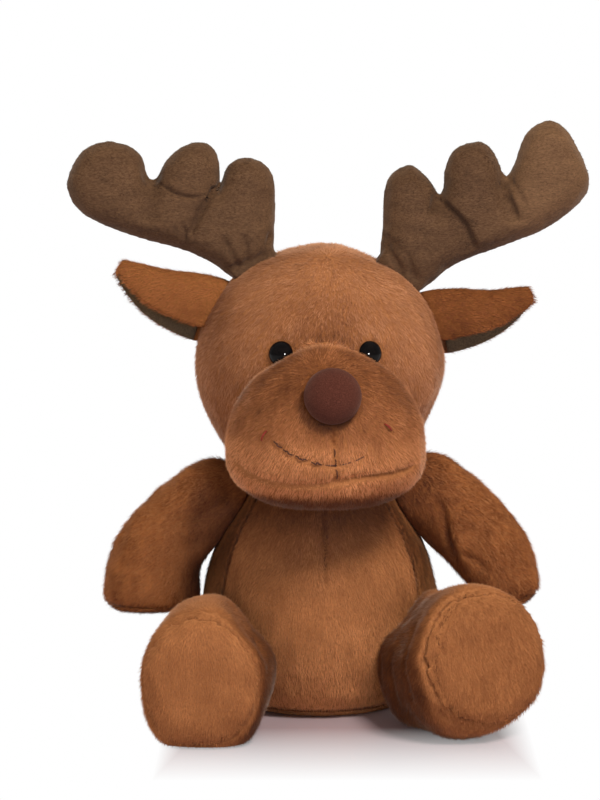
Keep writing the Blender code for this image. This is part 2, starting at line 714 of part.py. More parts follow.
def ear_matrix(name):
    """Ear frame: X runs from the root to the tip, Y to the toy's back and Z up across the fold."""
    side = SIDES[name]
    outward = Vector((side * math.cos(EAR_TILTS[name]), 0, math.sin(EAR_TILTS[name])))
    upward = Vector((-side * math.sin(EAR_TILTS[name]), 0, math.cos(EAR_TILTS[name])))
    rotation = Matrix((outward, Vector((0, 1, 0)), upward)).transposed().to_4x4()
    return Matrix.Translation(on_head(EAR_ANGLES[name], EAR_SEAT_RADIUS)) @ rotation


def build_ear(name, neck, head, materials):
    matrix = ear_matrix(name)
    pivot = make_pivot(f"ear_{name}_pivot", matrix.translation, neck)
    rings = [flap_ring(share, ear_outside, ear_inside) for share in EAR_LENGTH_SHARES]
    ear = make_piece(f"ear_{name}", moved(loft(rings), matrix), materials["plush"], pivot)
    across = matrix @ Matrix.Rotation(math.pi / 2, 4, "Z")
    core = make_cutter(f"ear_root_{name}", roll(EAR_ROLL_RADIUS, EAR_ROLL_LENGTH, across), pivot)
    boolean(ear, core, "UNION")
    span = LINING_END_SHARE - LINING_START_SHARE
    shares = [LINING_START_SHARE + span * step / LINING_STEPS for step in range(LINING_STEPS + 1)]
    lining_rings = [flap_ring(share, lining_outside, lining_inside) for share in shares]
    lining = make_piece(f"ear_lining_{name}", moved(loft(lining_rings), matrix), materials["lining"], pivot)
    room = roll(EAR_ROLL_RADIUS, EAR_ROLL_LENGTH, across, SEAM_GAP)
    boolean(lining, make_cutter(f"ear_root_room_{name}", room, pivot))
    groove = roll(EAR_ROLL_RADIUS, EAR_ROLL_LENGTH, across, RUNNING_GAP)
    boolean(head, make_cutter(f"ear_groove_{name}", groove, neck))


def antler_matrix(name):
    """Antler frame: X and Y as in the front view from the root roll, and Z towards the face."""
    place = on_head(ANTLER_SEAT_ANGLES[name], ANTLER_SEAT_RADIUS)
    upward = Vector((0, math.sin(ANTLER_LEAN), math.cos(ANTLER_LEAN)))
    return frame_matrix(place, (1, 0, 0), upward)


def build_antler(name, neck, head, materials):
    matrix = antler_matrix(name)
    pivot = make_pivot(f"antler_{name}_pivot", matrix.translation, neck)
    outline = smooth_rows(ANTLER_OUTLINE_SHARES[name], PATH_STEPS, closed=True)
    outline = [Vector(point) * ANTLER_REACH for point in outline]
    shape = pillow(outline, ANTLER_HALF_THICKNESS, ANTLER_SOFT_EDGE, ANTLER_SPACING)
    antler = make_piece(f"antler_{name}", moved(shape, matrix), materials["antler"], pivot)
    turn = ANTLER_SEAT_ANGLES[name] - math.pi / 2
    along = matrix @ Matrix.Rotation(turn, 4, "Z")
    length = ANTLER_ROLL_LENGTHS[name]
    core = make_cutter(f"antler_root_{name}", roll(ANTLER_ROLL_RADIUS, length, along), pivot)
    boolean(antler, core, "UNION")
    groove = roll(ANTLER_ROLL_RADIUS, length, along, RUNNING_GAP)
    boolean(head, make_cutter(f"antler_groove_{name}", groove, neck))


# Limbs

def limb_path(root, sizes, line_shares, radius_shares, radius):
    """(place, radius) rows along a limb, from hand-chosen shares of its reach, forward and rise."""
    rows = []
    for shares, radius_share in zip(line_shares, radius_shares):
        offset = Vector(share * size for share, size in zip(shares, sizes))
        rows.append((*(Vector(root) + offset), radius_share * radius))
    return smooth_rows(rows, PATH_STEPS)


def limb_end(path):
    """(centre, direction, radius) of a limb's flat outer end."""
    centre = Vector(path[-1][:3])
    return centre, (centre - Vector(path[-2][:3])).normalized(), path[-1][3]


def limb_loft(path, level, width_share, depth_share):
    """A stuffed limb along a path. Level is the direction that its rings keep level."""
    rings = []
    for index, (*place, radius) in enumerate(path):
        before, after = path[max(index - 1, 0)], path[min(index + 1, len(path) - 1)]
        tangent = (Vector(after[:3]) - Vector(before[:3])).normalized()
        across = (level - tangent * level.dot(tangent)).normalized()
        along = tangent.cross(across)
        rings.append(oval_ring(Vector(place), across * radius * width_share, along * radius * depth_share, LIMB_SIDES))
    return loft(rings)


def end_pad(path, level, width_share, depth_share, thickness):
    """A domed gusset sewn over a limb's flat end."""
    centre, direction, radius = limb_end(path)
    across = (level - direction * level.dot(direction)).normalized()
    size = radius * PAD_RIM_SHARE
    turns = (2 * math.pi * index / LIMB_SIDES for index in range(LIMB_SIDES))
    outline = [(size * width_share * math.cos(turn), size * depth_share * math.sin(turn)) for turn in turns]
    shape = pillow(outline, thickness, size / 2, PAD_SPACING, flat_back=True)
    return moved(shape, frame_matrix(centre + direction * SEAM_GAP, across, direction.cross(across)))


def cut_sweep(piece, form, hinge, axis, lift):
    """Cuts a lifting piece by its neighbour's grown form, at rest and at steps up to the full lift."""
    for step, share in enumerate(SWEEP_SHARES):
        around = Matrix.Translation(hinge) @ Matrix.Rotation(-lift * share, 4, axis) @ Matrix.Translation(-hinge)
        boolean(piece, make_cutter(f"{piece.name}_{form.__name__}_{step}", moved(form(RUNNING_GAP), around)))


def build_arm(name, materials):
    side = SIDES[name]
    root = (side * SHOULDER_HALF_SPACING, 0, NECK_HEIGHT - SHOULDER_FALLS[name])
    sizes = (side * ARM_REACHES[name], -ARM_FORWARDS[name], -ARM_DROPS[name])
    path = limb_path(root, sizes, ARM_LINE_SHARES[name], ARM_RADIUS_SHARES[name], ARM_RADII[name])
    hinge_out = SHOULDER_HALF_SPACING + SHOULDER_HINGE_STEP
    hinge = Vector((side * hinge_out, 0, NECK_HEIGHT - SHOULDER_HINGE_STEP))
    pivot = make_pivot(f"shoulder_{name}_pivot", hinge)
    level = Vector((0, 1, 0))
    arm = make_piece(f"arm_{name}", limb_loft(path, level, ARM_DEPTH_SHARE, 1), materials["plush"], pivot)
    pad = end_pad(path, level, ARM_DEPTH_SHARE, 1, PAW_PAD_THICKNESS)
    make_piece(f"paw_pad_{name}", pad, materials["pad"], pivot)
    axis = Vector((0, -side, 0))
    cut_sweep(arm, body_clearance, hinge, axis, SHOULDER_LIFT)
    cut_sweep(arm, head_ball, hinge, axis, SHOULDER_LIFT)


def build_leg(name, ground, materials):
    side = SIDES[name]
    root = (side * HIP_HALF_SPACINGS[name], -HIP_FORWARD, LEG_RADII[name] - LEG_FLAT)
    sizes = (side * LEG_REACHES[name], -LEG_FORWARDS[name], LEG_RISES[name])
    path = limb_path(root, sizes, LEG_LINE_SHARES, LEG_RADIUS_SHARES, LEG_RADII[name])
    hinge = Vector((side * HIP_HALF_SPACINGS[name], -HIP_HINGE_FORWARD, HIP_HINGE_HEIGHT))
    pivot = make_pivot(f"hip_{name}_pivot", hinge)
    level = Vector((1, 0, 0))
    leg = make_piece(f"leg_{name}", limb_loft(path, level, LEG_WIDTH_SHARE, 1), materials["plush"], pivot)
    pad = end_pad(path, level, LEG_WIDTH_SHARE, 1, SOLE_THICKNESS)
    sole = make_piece(f"sole_{name}", pad, materials["pad"], pivot)
    cut_sweep(leg, body_clearance, hinge, Vector((-1, 0, 0)), HIP_LIFT)
    boolean(leg, ground)
    boolean(sole, ground)


def ground_cutter():
    """The ground under the legs, as a slab whose top is the plane that the toy sits on."""
    bm = bmesh.new()
    bmesh.ops.create_cube(bm, size=1)
    reach = 4 * (BODY_HALF_WIDTH + max(LEG_RADII.values()))
    scale = Matrix.Diagonal((reach, reach, CUT_OVERRUN, 1))
    return moved(bm, Matrix.Translation((0, 0, -CUT_OVERRUN / 2)) @ scale)


def clear_scene():
    for item in list(bpy.data.objects):
        bpy.data.objects.remove(item, do_unlink=True)


def build_toy():
    clear_scene()
    bpy.context.scene.unit_settings.scale_length = 1
    materials = {
        "plush": make_material("plush_brown", PLUSH_BROWN, PLUSH_ROUGHNESS),
        "panel": make_material("panel_brown", PANEL_BROWN, PLUSH_ROUGHNESS),
        "muzzle": make_material("muzzle_brown", MUZZLE_BROWN, PLUSH_ROUGHNESS),
        "pad": make_material("pad_brown", PANEL_BROWN, PLUSH_ROUGHNESS),
        "antler": make_material("antler_brown", ANTLER_BROWN, SHORT_PILE_ROUGHNESS),
        "lining": make_material("lining_brown", LINING_BROWN, SHORT_PILE_ROUGHNESS),
        "bag": make_material("bag_cream", BAG_CREAM, BAG_ROUGHNESS),
        "eye": make_material("eye_black", EYE_BLACK, EYE_ROUGHNESS),
        "nose": make_material("nose_brown", NOSE_BROWN, FLOCK_ROUGHNESS),
        "washer": make_material("washer_white", WASHER_WHITE, WASHER_ROUGHNESS),
    }
    body = make_piece("body", body_loft(), materials["plush"])
    boolean(body, make_cutter("pellet_pocket", pellet_bag_loft(SEAM_GAP)))
    make_piece("belly_panel", belly_panel_loft(), materials["panel"])
    make_piece("seat_panel", seat_panel_loft(), materials["panel"])
    make_piece("pellet_bag", pellet_bag_loft(), materials["bag"])
    tail = make_piece("tail", tail_loft(), materials["plush"])
    boolean(tail, make_cutter("body_clearance", body_clearance(SEAM_GAP)))

    neck = make_pivot("neck_pivot", (0, 0, NECK_HEIGHT), turn=HEAD_TURN)
    head = build_face(neck, materials)
    ground = make_cutter("ground", ground_cutter())
    for name in SIDES:
        build_ear(name, neck, head, materials)
        build_antler(name, neck, head, materials)
        build_arm(name, materials)
        build_leg(name, ground, materials)


build_toy()
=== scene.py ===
import math

import bmesh
import bpy
import numpy as np
from mathutils import Matrix, Vector
from mathutils.bvhtree import BVHTree


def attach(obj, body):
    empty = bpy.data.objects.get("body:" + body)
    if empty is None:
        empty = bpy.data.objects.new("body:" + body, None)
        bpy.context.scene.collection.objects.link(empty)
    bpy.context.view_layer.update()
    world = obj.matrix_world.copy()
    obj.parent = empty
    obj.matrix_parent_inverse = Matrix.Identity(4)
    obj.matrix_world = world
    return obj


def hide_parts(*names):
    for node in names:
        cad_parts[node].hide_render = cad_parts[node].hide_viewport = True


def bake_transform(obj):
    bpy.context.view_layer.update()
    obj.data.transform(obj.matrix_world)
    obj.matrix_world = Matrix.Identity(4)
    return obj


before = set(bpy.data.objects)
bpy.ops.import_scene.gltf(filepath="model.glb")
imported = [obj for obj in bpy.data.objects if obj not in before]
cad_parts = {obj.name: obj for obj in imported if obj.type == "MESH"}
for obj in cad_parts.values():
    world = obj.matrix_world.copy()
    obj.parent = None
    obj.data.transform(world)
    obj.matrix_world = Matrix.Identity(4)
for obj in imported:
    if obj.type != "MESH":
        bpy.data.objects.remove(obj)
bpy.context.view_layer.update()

scene = bpy.context.scene
MM = 0.001
# The deer's left is the side on the left of the photograph
SIDES = {"left": -1, "right": 1}

# Sizes of the part that the pieces are fitted to
HEAD_TURN = math.radians(2.4)
HEAD_CENTRE = np.array((0, 0, 0.17849))
HEAD_RADIUS = 0.0652
NECK_HEIGHT = 0.1225
MUZZLE_CENTRE = HEAD_CENTRE + np.array((0, -0.062, -0.0345))
MUZZLE_HALF_WIDTH = 0.0502
MUZZLE_FRONT, MUZZLE_BACK = 0.042, 0.034
MUZZLE_TOP, MUZZLE_DROP = 0.0537, 0.0285
MUZZLE_FULLNESS = 2.5
NOSE_RADIUS, NOSE_DEPTH = 0.0143, 0.0118
NOSE_ANGLE = math.radians(34.9)
NOSE_OFFSET, NOSE_SINK = 0.0018, 0.0072
EYE_RADIUS, EYE_DOME = 0.0065, 0.005
EYE_SPACING, EYE_RISE, EYE_SINK = 0.0455, 0.0147, 0.0012
SHANK_RADIUS, RIB_RADIUS, RIB_PITCH, RIB_START = 0.0021, 0.0025, 0.0024, 0.002
EYE_BACK = ((0.0061, -0.0006), (0.0051, -0.0012), (SHANK_RADIUS, -0.0012))
SHANK_LENGTH = 0.0135
RIBS = 5
PANEL_ANGLE = math.radians(60)
# Clearances to the solids of other pieces
NECK_GAP, HEAD_GAP, NOSE_GAP = 0.0006, 0.0004, 0.0003
GROUND_GAP = 0.3 * MM
NOSE_REACH = 0.02
# Each ear's place round the head and its rise, in degrees, and how much its lower half is drawn in
EAR_ROOTS = {"left": (151, 25, -0.06), "right": (21, 17, 0.05)}
EAR_PIVOT_RADIUS = 0.0664
EAR_ROOT_DEPTH = 3.1 * MM
# How far inside and outside its pivot each ear bends, in millimetres
EAR_BEND = (1, 13)
SHOULDER, HIP = (0.0345, 0, 0.122), (0.044, -0.03, 0.03)
ARM_RUN = (0.62, 0, -0.785)
# How far the bending reaches along each limb, in millimetres
ARM_BEND, LEG_BEND = 42, 46

# Camera, whose lengths in the picture are in pixels
FRAME = (600, 800)
SENSOR = 24
DISTANCE = 1.6
ELEVATION = math.radians(8)
AIM = np.array((0, 0, 0.161))
FOCAL_PIXELS = 3040
AXIS_PIXEL = (320.5, 400)
EYE_POINT = AIM + DISTANCE * np.array((0, -math.cos(ELEVATION), math.sin(ELEVATION)))
FORWARD = np.array((0, math.cos(ELEVATION), -math.sin(ELEVATION)))
UPWARD = np.array((0, math.sin(ELEVATION), math.cos(ELEVATION)))


def make_camera():
    data = bpy.data.cameras.new("camera")
    data.sensor_fit = "VERTICAL"
    data.sensor_height = SENSOR
    data.lens = SENSOR * FOCAL_PIXELS / FRAME[1]
    data.shift_x = -(AXIS_PIXEL[0] - FRAME[0] / 2) / FRAME[1]
    camera = bpy.data.objects.new("camera", data)
    scene.collection.objects.link(camera)
    camera.location = EYE_POINT
    camera.rotation_euler = (math.pi / 2 - ELEVATION, 0, 0)
    scene.camera = camera


# Number helpers

NOISE_CELLS = 24


def smoothstep(low, high, value):
    share = np.clip((value - low) / (high - low), 0, 1)
    return share * share * (3 - 2 * share)


def unit(vectors):
    return vectors / np.maximum(np.linalg.norm(vectors, axis=-1, keepdims=True), 1e-12)


def noise(points, size, seed):
    """Smooth noise from -1 to 1 with lumps of the given size."""
    table = np.random.default_rng(seed).uniform(-1, 1, (NOISE_CELLS,) * 3)
    place = points / size + 100
    cell = np.floor(place).astype(int)
    part = place - cell
    part = part * part * (3 - 2 * part)
    total = np.zeros(len(points))
    for corner in np.ndindex(2, 2, 2):
        weight = np.prod(np.where(corner, part, 1 - part), axis=1)
        at = (cell + corner) % NOISE_CELLS
        total += weight * table[at[:, 0], at[:, 1], at[:, 2]]
    return total


def noise_vectors(points, size, seed):
    return np.stack([noise(points, size, seed + axis) for axis in (0, 1, 2)], axis=1)


# Mesh helpers

def link(name, mesh):
    piece = bpy.data.objects.new(name, mesh)
    scene.collection.objects.link(piece)
    return piece


def mesh_from(name, points, *face_groups):
    mesh = bpy.data.meshes.new(name)
    mesh.vertices.add(len(points))
    mesh.vertices.foreach_set("co", np.asarray(points, np.float32).ravel())
    corners = np.concatenate([group.ravel() for group in face_groups]).astype(np.int32)
    sizes = np.concatenate([np.full(len(group), group.shape[1]) for group in face_groups])
    mesh.loops.add(len(corners))
    mesh.loops.foreach_set("vertex_index", corners)
    mesh.polygons.add(len(sizes))
    mesh.polygons.foreach_set("loop_start", (np.cumsum(sizes) - sizes).astype(np.int32))
    mesh.update(calc_edges=True)
    mesh.shade_smooth()
    return mesh


def points_of(piece):
    points = np.empty(len(piece.data.vertices) * 3, np.float32)
    piece.data.vertices.foreach_get("co", points)
    return points.reshape(-1, 3).astype(float)


def set_points(piece, points):
    piece.data.vertices.foreach_set("co", np.asarray(points, np.float32).ravel())
    piece.data.update()


def normals_of(piece):
    normals = np.empty(len(piece.data.vertices) * 3, np.float32)
    piece.data.vertex_normals.foreach_get("vector", normals)
    return normals.reshape(-1, 3).astype(float)


def triangles_of(piece):
    piece.data.calc_loop_triangles()
    corners = np.empty(len(piece.data.loop_triangles) * 3, np.int32)
    piece.data.loop_triangles.foreach_get("vertices", corners)
    return corners.reshape(-1, 3)


def joined_mesh(pieces):
    """The points and triangles of several pieces together."""
    points, faces, count = [], [], 0
    for piece in pieces:
        points.append(points_of(piece))
        faces.append(triangles_of(piece) + count)
        count += len(points[-1])
    return np.concatenate(points), np.concatenate(faces)


def tree_of(*pieces):
    points, faces = joined_mesh(pieces)
    return BVHTree.FromPolygons(points.tolist(), faces.tolist(), all_triangles=True)


def evaluated(piece):
    """The piece with its modifiers applied."""
    graph = bpy.context.evaluated_depsgraph_get()
    mesh = bpy.data.meshes.new_from_object(piece.evaluated_get(graph))
    piece.modifiers.clear()
    piece.data = mesh
    mesh.shade_smooth()
    return piece


def voxel_remesh(piece, size):
    voxels = piece.modifiers.new("voxels", "REMESH")
    voxels.mode = "VOXEL"
    voxels.voxel_size = size


def remeshed(name, nodes, voxel, soften, finer):
    """A soft closed skin over copies of CAD solids."""
    piece = link(name, mesh_from(name, *joined_mesh(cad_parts[node] for node in nodes)))
    voxel_remesh(piece, voxel)
    smooth = piece.modifiers.new("soften", "SMOOTH")
    smooth.factor = 0.5
    smooth.iterations = soften
    evaluated(piece)
    if finer:
        piece.modifiers.new("subdivide", "SUBSURF")
        evaluated(piece)
    return piece


def ball(name, level, shape):
    """A ball whose unit points are moved to their places by shape."""
    bm = bmesh.new()
    bmesh.ops.create_icosphere(bm, subdivisions=level, radius=1)
    mesh = bpy.data.meshes.new(name)
    bm.to_mesh(mesh)
    bm.free()
    piece = link(name, mesh)
    set_points(piece, shape(points_of(piece)))
    mesh.shade_smooth()
    return piece


def turned_head(points):
    """Turns points of the head's own frame as the head is turned on its neck."""
    cos, sin = math.cos(HEAD_TURN), math.sin(HEAD_TURN)
    turned = np.array(points, float)
    turned[..., 0], turned[..., 1] = (
        points[..., 0] * cos - points[..., 1] * sin,
        points[..., 0] * sin + points[..., 1] * cos,
    )
    return turned


def lathe(name, profile, matrix, sides=48):
    """A body turned about Z from (radius, height) points that start and end on the axis."""
    turns = np.arange(sides) * 2 * math.pi / sides
    points = [(0, 0, profile[0][1])]
    for radius, height in profile[1:-1]:
        points += [(radius * math.cos(turn), radius * math.sin(turn), height) for turn in turns]
    points.append((0, 0, profile[-1][1]))
    rings = len(profile) - 2
    index = np.arange(sides)
    after = (index + 1) % sides
    start = np.stack([np.zeros(sides, int), 1 + index, 1 + after], axis=1)
    last = 1 + (rings - 1) * sides
    end = np.stack([last + after, last + index, np.full(sides, len(points) - 1)], axis=1)
    quads = []
    for ring in range(rings - 1):
        low, high = 1 + ring * sides, 1 + (ring + 1) * sides
        quads.append(np.stack([low + index, high + index, high + after, low + after], axis=1))
    points = np.array([matrix @ Vector(point) for point in points])
    return link(name, mesh_from(name, points, np.concatenate([start, end]), np.concatenate(quads)))


# Seams and creases

def cast(tree, pixels):
    """Places on a skin behind pixels of the photograph's frame."""
    places = []
    for across, down in pixels:
        ray = FORWARD * FOCAL_PIXELS + np.array((across - AXIS_PIXEL[0], 0, 0))
        ray = ray + UPWARD * (AXIS_PIXEL[1] - down)
        hit = tree.ray_cast(Vector(EYE_POINT), Vector(unit(ray)))[0]
        if hit is not None:
            places.append(hit)
    return np.array(places)


def fine(line, step=1.5 * MM):
    """The line with points every step or less."""
    line = np.asarray(line, float)
    lengths = np.linalg.norm(np.diff(line, axis=0), axis=1)
    along = np.concatenate([[0], np.cumsum(lengths)])
    count = max(int(along[-1] / step), 2)
    at = np.linspace(0, along[-1], count + 1)
    return np.stack([np.interp(at, along, line[:, axis]) for axis in (0, 1, 2)], axis=1)


def from_line(points, line, reach):
    """The distance and length along a line of the points in its reach, which points, and the whole length."""
    low, high = line.min(0) - reach, line.max(0) + reach
    near = np.flatnonzero(((points > low) & (points < high)).all(1))
    distance = np.full(len(near), np.inf)
    along = np.zeros(len(near))
    walked = 0.0
    for start, end in zip(line, line[1:]):
        span = end - start
        length = np.linalg.norm(span)
        share = np.clip((points[near] - start) @ span / max(length**2, 1e-12), 0, 1)
        away = np.linalg.norm(points[near] - start - share[:, None] * span, axis=1)
        closer = away < distance
        distance[closer] = away[closer]
        along[closer] = walked + share[closer] * length
        walked += length
    inside = distance < reach
    return distance[inside], along[inside], near[inside], walked


PARTED, PAINTED_FOLD_SHADE = {}, {}
PUCKER_SPREAD = 3.0


def darken(piece, near, share):
    """Folds lie in shade: keeps the deepest share for each point of a skin."""
    painted_shade = PAINTED_FOLD_SHADE.setdefault(piece.name, np.zeros(len(piece.data.vertices)))
    painted_shade[near] = np.maximum(painted_shade[near], share)


def part_pile(piece, line, reach, least):
    """The pile is dark along this line, and only a share of its length at the least."""
    PARTED.setdefault(piece.name, []).append((fine(line), reach, least))


def crease(piece, line, width, depth, fade, pucker=0.0, pitch=5 * MM, seed=1, step=0.0,
           open_start=False, dark=1.0):
    """Presses a fold or seam into the skin along a line. Pucker adds gathers beside it, and step lifts
    the skin on its left as seen from the front."""
    if len(line) < 2:
        return
    points, normals = points_of(piece), normals_of(piece)
    path = fine(line)
    distance, along, near, total = from_line(points, path, width * (PUCKER_SPREAD + 1) * 2)
    push = depth * np.exp(-((distance / width) ** 2))
    if fade:
        push *= faded(along, total, fade, open_start)
    # Painted shade along the fold or seam, as strong as dark
    darken(piece, near, np.clip(push / width, 0, 1) * dark)
    if pucker:
        push += gathers(along, distance, total, width, pitch, seed, pucker)
    if step:
        nearest = np.array([np.argmin(np.linalg.norm(path - point, axis=1)) for point in points[near]])
        run = path[np.minimum(nearest + 1, len(path) - 1)] - path[np.maximum(nearest - 1, 0)]
        away = points[near] - path[nearest]
        side = np.sign(run[:, 0] * away[:, 2] - run[:, 2] * away[:, 0])
        rise = step * np.exp(-distance / (3 * width)) * smoothstep(0, width / 2, distance)
        push -= side * rise * faded(along, total, 6 * MM, open_start)
    points[near] -= normals[near] * push[:, None]
    set_points(piece, points)


def faded(along, total, fade, open_start):
    """1 along a line, and down to 0 at its ends."""
    return (1 if open_start else smoothstep(0, fade, along)) * smoothstep(0, fade, total - along)


def gathers(along, distance, total, width, pitch, seed, pucker):
    """Uneven little folds that run out from a seam, at most as deep as pucker."""
    rng = np.random.default_rng(seed)
    count = int(total / pitch) + 6
    knots = np.arange(-2, count - 2) * pitch + rng.uniform(-0.33, 0.33, count) * pitch
    phase = np.interp(along, knots, np.arange(count))
    reach = width * PUCKER_SPREAD * (0.7 + 0.5 * np.interp(along, knots, rng.uniform(0, 1, count)))
    fold = 0.5 - 0.5 * np.cos(phase * 2 * math.pi)
    return pucker * (1 - fold) ** 2 * np.exp(-distance / reach)


def shift(pieces, place, reach, move):
    """Pulls the skins softly about a place."""
    for piece in pieces:
        points = points_of(piece)
        away = np.linalg.norm(points - place, axis=1)
        set_points(piece, points + np.exp(-((away / reach) ** 2))[:, None] * np.array(move))


def swell(piece, height):
    set_points(piece, points_of(piece) + normals_of(piece) * height)


def stand(piece):
    """Lets nothing go below the ground."""
    points = points_of(piece)
    points[:, 2] = np.maximum(points[:, 2], GROUND_GAP)
    set_points(piece, points)


def tube(name, line, radius, sides=8):
    """A closed thread along a line."""
    line = np.asarray(line, float)
    run = unit(np.gradient(line, axis=0))
    first = unit(np.cross(run, (0, 0, 1)) + 1e-9)
    second = np.cross(run, first)
    turns = np.arange(sides) * 2 * math.pi / sides
    taper = np.sin(np.linspace(0.25, math.pi - 0.25, len(line)))[:, None, None] ** 0.5
    ring = first[:, None] * np.cos(turns)[None, :, None] + second[:, None] * np.sin(turns)[None, :, None]
    points = (line[:, None] + ring * radius * taper).reshape(-1, 3)
    index = np.arange(sides)
    after = (index + 1) % sides
    last = (len(line) - 1) * sides
    quads = [
        np.stack([low + index, low + after, low + sides + after, low + sides + index], axis=1)
        for low in range(0, last, sides)
    ]
    return link(name, mesh_from(name, points, np.concatenate(quads), index[None, ::-1], last + index[None]))


CLOTH_FRAMES, CLOTH_QUALITY, STUFFING_PRESSURE = 20, 4, 4


def stuffed(piece, cap, voxel):
    """Presses the stuffing against the skin with a Cloth simulation on a coarse copy. The skin takes its
    shape, less its mean swelling, and no point moves over cap."""
    coarse = link(piece.name + "_cloth", piece.data.copy())
    voxel_remesh(coarse, voxel)
    evaluated(coarse)
    rest, normals = points_of(coarse), normals_of(coarse)
    tree = tree_of(coarse)
    faces = triangles_of(coarse)
    cloth = coarse.modifiers.new("cloth", "CLOTH")
    cloth.settings.quality = CLOTH_QUALITY
    cloth.settings.use_pressure = True
    cloth.settings.uniform_pressure_force = STUFFING_PRESSURE
    cloth.settings.effector_weights.gravity = 0
    cloth.point_cache.frame_end = CLOTH_FRAMES
    for step in range(1, CLOTH_FRAMES + 1):
        scene.frame_set(step)
    evaluated(coarse)
    moved = points_of(coarse) - rest
    bpy.data.objects.remove(coarse)
    scene.frame_set(1)
    moved -= normals * (moved * normals).sum(1).mean()
    size = np.linalg.norm(moved, axis=1, keepdims=True)
    moved *= cap / np.maximum(size, cap)
    points = points_of(piece)
    for index, point in enumerate(points):
        place, _, face, _ = tree.find_nearest(Vector(point))
        corners = rest[faces[face]]
        weights = 1 / np.maximum(np.linalg.norm(corners - np.array(place), axis=1), 0.1 * MM)
        points[index] += (moved[faces[face]] * weights[:, None]).sum(0) / weights.sum()
    set_points(piece, points)


def ear_stretch(pieces, side):
    """Draws the ear's root in to the head, where the solids leave room for its bending."""
    out = SIDES[side]
    angle, tilt, taper = EAR_ROOTS[side]
    angle, tilt = math.radians(angle), math.radians(tilt)
    outward = turned_head(np.array((out * math.cos(tilt), 0, math.sin(tilt))))
    upward = turned_head(np.array((-out * math.sin(tilt), 0, math.cos(tilt))))
    back = turned_head(np.array((0.0, 1.0, 0.0)))
    pivot = turned_head(HEAD_CENTRE + EAR_PIVOT_RADIUS * np.array((math.cos(angle), 0, math.sin(angle))))
    centre = HEAD_CENTRE - pivot
    for piece in pieces:
        points = points_of(piece) - pivot
        along, across, high = points @ outward, points @ back, points @ upward
        ring = (HEAD_RADIUS - 1.5 * MM) ** 2 - (across - centre @ back) ** 2 - (high - centre @ upward) ** 2
        gap = EAR_ROOT_DEPTH - (centre @ outward + np.sqrt(np.maximum(ring, 0)))
        pull = gap * (1 - smoothstep(2.5 * MM, 20 * MM, along))
        points -= outward * pull[:, None]
        low = np.minimum(high, 0) * taper
        points -= upward * low[:, None]
        set_points(piece, points + pivot)
    return pivot - outward * EAR_BEND[0] * MM, pivot + outward * EAR_BEND[1] * MM


def lumps(piece, size, height, seed):
    points = points_of(piece)
    set_points(piece, points + normals_of(piece) * (noise(points, size, seed) * height)[:, None])


# Materials

WHITE = (255, 255, 255)


def new_material(name, roughness, specular, sheen=0.0, sheen_tint=(1, 1, 1), sheen_roughness=0.5):
    material = bpy.data.materials.new(name)
    material.use_nodes = True
    shader = material.node_tree.nodes["Principled BSDF"]
    shader.inputs["Roughness"].default_value = roughness
    shader.inputs["Specular IOR Level"].default_value = specular
    shader.inputs["Sheen Weight"].default_value = sheen
    shader.inputs["Sheen Tint"].default_value = (*sheen_tint, 1)
    shader.inputs["Sheen Roughness"].default_value = sheen_roughness
    return material


def add(material, kind, **values):
    node = material.node_tree.nodes.new(kind)
    for key, value in values.items():
        if hasattr(node, key):
            setattr(node, key, value)
        else:
            node.inputs[key.replace("_", " ").title()].default_value = value
    return node


def join(material, start, end):
    material.node_tree.links.new(start, end)


def linear(colour):
    return tuple((c / 255 / 12.92) if c <= 10.3 else ((c / 255 + 0.055) / 1.055) ** 2.4 for c in colour)


def pattern(material, scale, detail, roughness=0.5, stretch=None):
    """A noise in the object's own frame."""
    place = add(material, "ShaderNodeTexCoord").outputs["Object"]
    if stretch:
        mapping = add(material, "ShaderNodeMapping")
        mapping.inputs["Scale"].default_value = stretch
        join(material, place, mapping.inputs["Vector"])
        place = mapping.outputs["Vector"]
    texture = add(material, "ShaderNodeTexNoise", scale=scale, detail=detail, roughness=roughness)
    join(material, place, texture.inputs["Vector"])
    return texture.outputs["Fac"]


def ramp(material, value, *stops):
    """A colour ramp through (place, sRGB colour) stops."""
    node = add(material, "ShaderNodeValToRGB")
    elements = node.color_ramp.elements
    while len(elements) < len(stops):
        elements.new(0.5)
    for element, (place, colour) in zip(elements, stops):
        element.position = place
        element.color = (*linear(colour), 1)
    join(material, value, node.inputs["Fac"])
    return node.outputs["Color"]


def mix(material, factor, first, second, blend="MIX"):
    node = material.node_tree.nodes.new("ShaderNodeMix")
    node.data_type = "RGBA"
    node.blend_type = blend
    sockets = node.inputs
    for socket, value in ((sockets[0], factor), (sockets[6], first), (sockets[7], second)):
        if isinstance(value, bpy.types.NodeSocket):
            join(material, value, socket)
        elif isinstance(value, tuple):
            socket.default_value = (*value, 1)
        else:
            socket.default_value = value
    return node.outputs[2]


def set_colour(material, colour):
    join(material, colour, material.node_tree.nodes["Principled BSDF"].inputs["Base Color"])


def set_bump(material, height, strength, distance):
    bump = add(material, "ShaderNodeBump")
    bump.inputs["Strength"].default_value = strength
    bump.inputs["Distance"].default_value = distance
    join(material, height, bump.inputs["Height"])
    join(material, bump.outputs["Normal"], material.node_tree.nodes["Principled BSDF"].inputs["Normal"])


